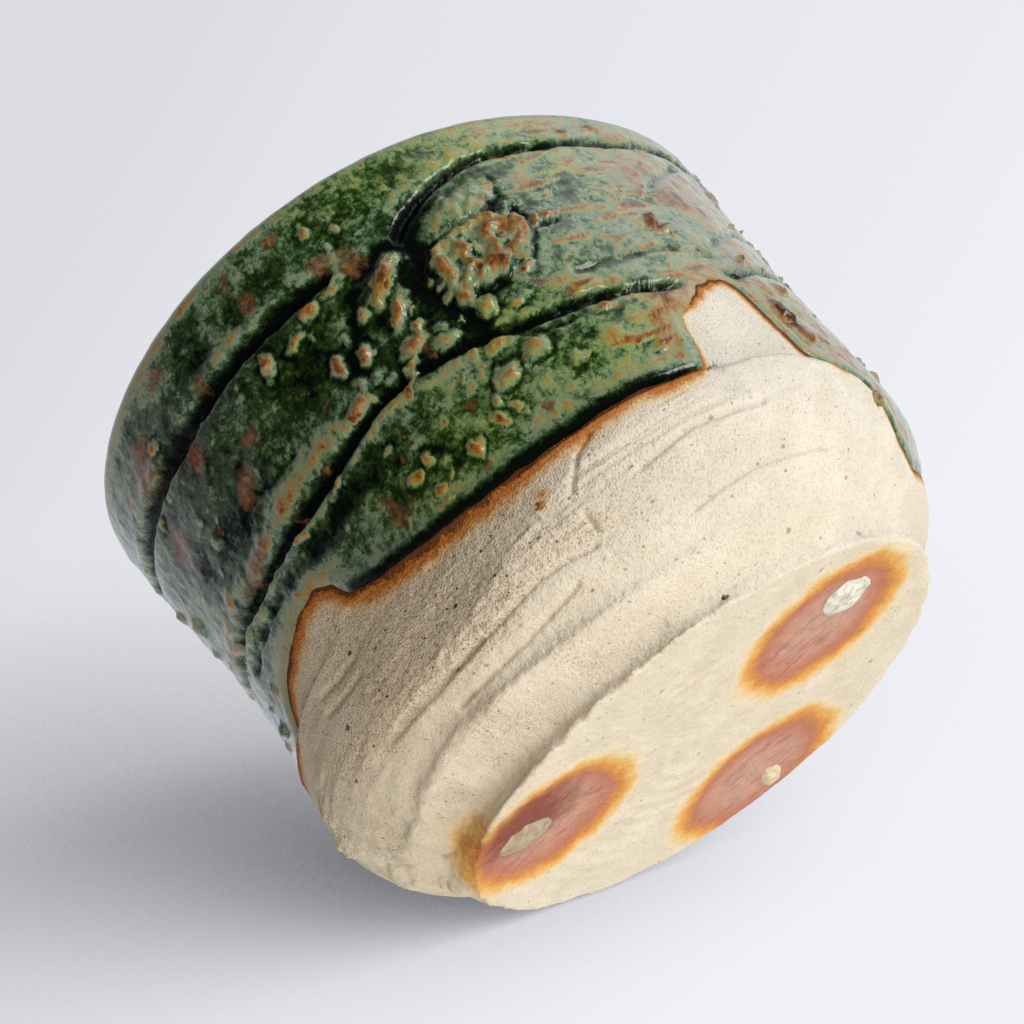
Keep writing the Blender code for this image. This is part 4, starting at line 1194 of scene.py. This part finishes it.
def shadow_only(name, sky_way, reach, fade, strength):
    """A see-through surface that darkens where the cup hides the light from it. Its back isn't seen."""
    made = bpy.data.materials.new(name)
    made.use_nodes = True
    tree = made.node_tree
    tree.nodes.clear()
    start = Wire(tree)
    open_sky = {"samples": 6, "inside": False}
    way = start.node("ShaderNodeCombineXYZ", {}, dict(enumerate(sky_way)))
    seen = start.node("ShaderNodeAmbientOcclusion", open_sky, {"Distance": reach * MM, "Normal": way}, "AO")
    away = start.node("ShaderNodeVectorMath", {"operation": "LENGTH"}, {0: start.place()}, "Value")
    front = 1 - start.node("ShaderNodeNewGeometry", {}, {}, "Backfacing")
    clamped = {"operation": "MULTIPLY", "use_clamp": True}
    hidden = start.node("ShaderNodeMath", clamped, {0: 1 - seen, 1: strength})
    share = hidden * away.between(fade * MM, fade * 0.4 * MM) * front
    dark = start.node("ShaderNodeEmission", {}, {"Color": (0.02, 0.02, 0.026, 1)})
    clear = start.node("ShaderNodeBsdfTransparent", {}, {})
    mixed = start.node("ShaderNodeMixShader", {}, {0: share, 1: clear, 2: dark})
    output = tree.nodes.new("ShaderNodeOutputMaterial")
    tree.links.new(mixed.socket, output.inputs["Surface"])
    return made


def set_stage(piece, material):
    """Gives a surface of the stage its material, and lets only the camera see it."""
    piece.data.materials.append(material)
    piece.visible_diffuse = False
    piece.visible_glossy = False
    piece.visible_transmission = False
    piece.visible_shadow = False


# Shade on the stage: how far the sky is searched, where the shade has faded, and its strength
FLOOR_SHADE = (60, 170, 0.7)
TABLE_SHADE = (150, 260, 1.95)
FLOOR_SIZE = 0.9
bpy.ops.object.select_all(action="DESELECT")
bpy.ops.mesh.primitive_plane_add(size=FLOOR_SIZE, location=(0, 0, 0))
floor = bpy.context.object
floor.name = "floor"
floor_sky = Vector((0.5, -0.25, 0.8)).normalized()
set_stage(floor, shadow_only("floor_shadow", floor_sky, *FLOOR_SHADE))

# The tipped table is cut into level strips that face down and close up as the photo's camera sees them.
STRIP_STEP = 0.3
STRIPS_FROM, STRIPS_TO = -30.0, 240.0
STRIP_HALF = 0.3
slope = Vector((-table_up.x, -table_up.y, 0))
uphill = slope.normalized()
sideways = Vector((-uphill.y, uphill.x, 0))
rise = slope.length / table_up.z
all_places = np.concatenate([foot_places.reshape(-1, 3), wall_places.reshape(-1, 3)])
table_level = float((all_places @ np.array(table_up)).min())
base_height = table_level / table_up.z
eye = camera_place.dot(uphill)
corners = []
for step in np.arange(STRIPS_FROM, STRIPS_TO, STRIP_STEP):
    height = base_height + rise * step
    next_height = base_height + rise * (step + STRIP_STEP)
    far = eye + (step + STRIP_STEP - eye) * (height - camera_place.z) / (next_height - camera_place.z)
    for reach, side in ((step, -1), (step, 1), (far, 1), (far, -1)):
        spot = uphill * reach * MM + sideways * side * STRIP_HALF
        corners.append((spot.x, spot.y, height * MM))
faces = [tuple(range(first, first + 4)) for first in range(0, len(corners), 4)]
table_mesh = bpy.data.meshes.new("tipped_table")
table_mesh.from_pydata(corners, [], faces)
table_mesh.update()
table = bpy.data.objects.new("tipped_table", table_mesh)
bpy.context.scene.collection.objects.link(table)
if table_mesh.polygons[0].normal.z > 0:
    table_mesh.flip_normals()
table_sky = (0.82 * right - 0.58 * table_up.cross(right)).normalized()
set_stage(table, shadow_only("table_shadow", table_sky, *TABLE_SHADE))


def lamp(name, kind, power):
    """Adds a lamp that shines from the window's side."""
    made = bpy.data.objects.new(name, bpy.data.lights.new(name, kind))
    made.data.energy = power
    made.rotation_mode = "QUATERNION"
    made.rotation_quaternion = light_from.to_track_quat("Z", "Y")
    bpy.context.scene.collection.objects.link(made)
    return made


SUN_STRENGTH, SUN_WIDTH, SUN_COLOUR = 1.82, radians(20), (0.87, 0.98, 1.1)
sun = lamp("window", "SUN", SUN_STRENGTH)
sun.data.color = SUN_COLOUR
sun.data.angle = SUN_WIDTH
sun.visible_glossy = False

# The window's shine on the coat comes from a disc beside the cup, so it stays on the side which faces it.
SHINE_AWAY, SHINE_SIZE, SHINE_POWER = 150.0, 60.0, 0.1
shine = lamp("window_shine", "AREA", SHINE_POWER)
shine.data.shape = "DISK"
shine.data.size = SHINE_SIZE * MM
shine.location = (middle + RIM_RADIUS * towards_camera + SHINE_AWAY * light_from) * MM
shine.visible_camera = False
shine.visible_diffuse = False

world = bpy.data.worlds.new("pale_room")
bpy.context.scene.world = world
world.use_nodes = True
world.node_tree.nodes.clear()
sky = Wire(world.node_tree)
direction = sky.node("ShaderNodeTexCoord", {}, {}, "Generated")


def facing(way):
    """How far the direction that is looked in points this way, from -1 to 1."""
    dot = {"operation": "DOT_PRODUCT"}
    return sky.node("ShaderNodeVectorMath", dot, {0: direction, 1: tuple(way)}, "Value")


def glow(share, colour, below):
    """Adds a light of the room, seen by a share that depends on the direction, to those below it."""
    return sky.node("ShaderNodeVectorMath", {"operation": "MULTIPLY_ADD"}, {0: colour, 1: share, 2: below})


window = facing(photo_way(*WINDOW_WAY)).between(0.80, 0.96)
room = glow(facing(Vector((0, 0, -1))).between(0.0, 1.0), (1.28, 1.2, 1.0), (0.02, 0.018, 0.015))
room = glow(facing(towards_camera).between(0.2, 1.0), (0.58, 0.50, 0.44), room)
room = glow(facing(-towards_camera).between(0.0, 1.0), (0.5, 0.5, 0.52), room)
room = glow(window, WINDOW_GLOW, room)
behind = (facing(image_right) - 0.6 * facing(image_up)).between(-0.28, 0.2).ramp(
    (0, (0.705, 0.715, 0.76)), (0.11, (0.765, 0.775, 0.82)),
    (0.8, (0.83, 0.84, 0.88)), (1, (0.875, 0.89, 0.93)),
)
mirrored = glow(facing(-towards_camera).between(-0.5, 0.5), behind, (0.03, 0.03, 0.035))
mirrored = glow(window, WINDOW_GLOW, mirrored)
seen_shining = sky.node("ShaderNodeLightPath", {}, {}, "Is Glossy Ray")
seen_first = sky.node("ShaderNodeLightPath", {}, {}, "Is Camera Ray")
shown = room.tint(mirrored, seen_shining).tint(behind, seen_first)
light = sky.node("ShaderNodeBackground", {}, {"Color": shown})
world_output = world.node_tree.nodes.new("ShaderNodeOutputWorld")
world.node_tree.links.new(light.socket, world_output.inputs["Surface"])

bpy.context.scene.view_settings.view_transform = "Standard"
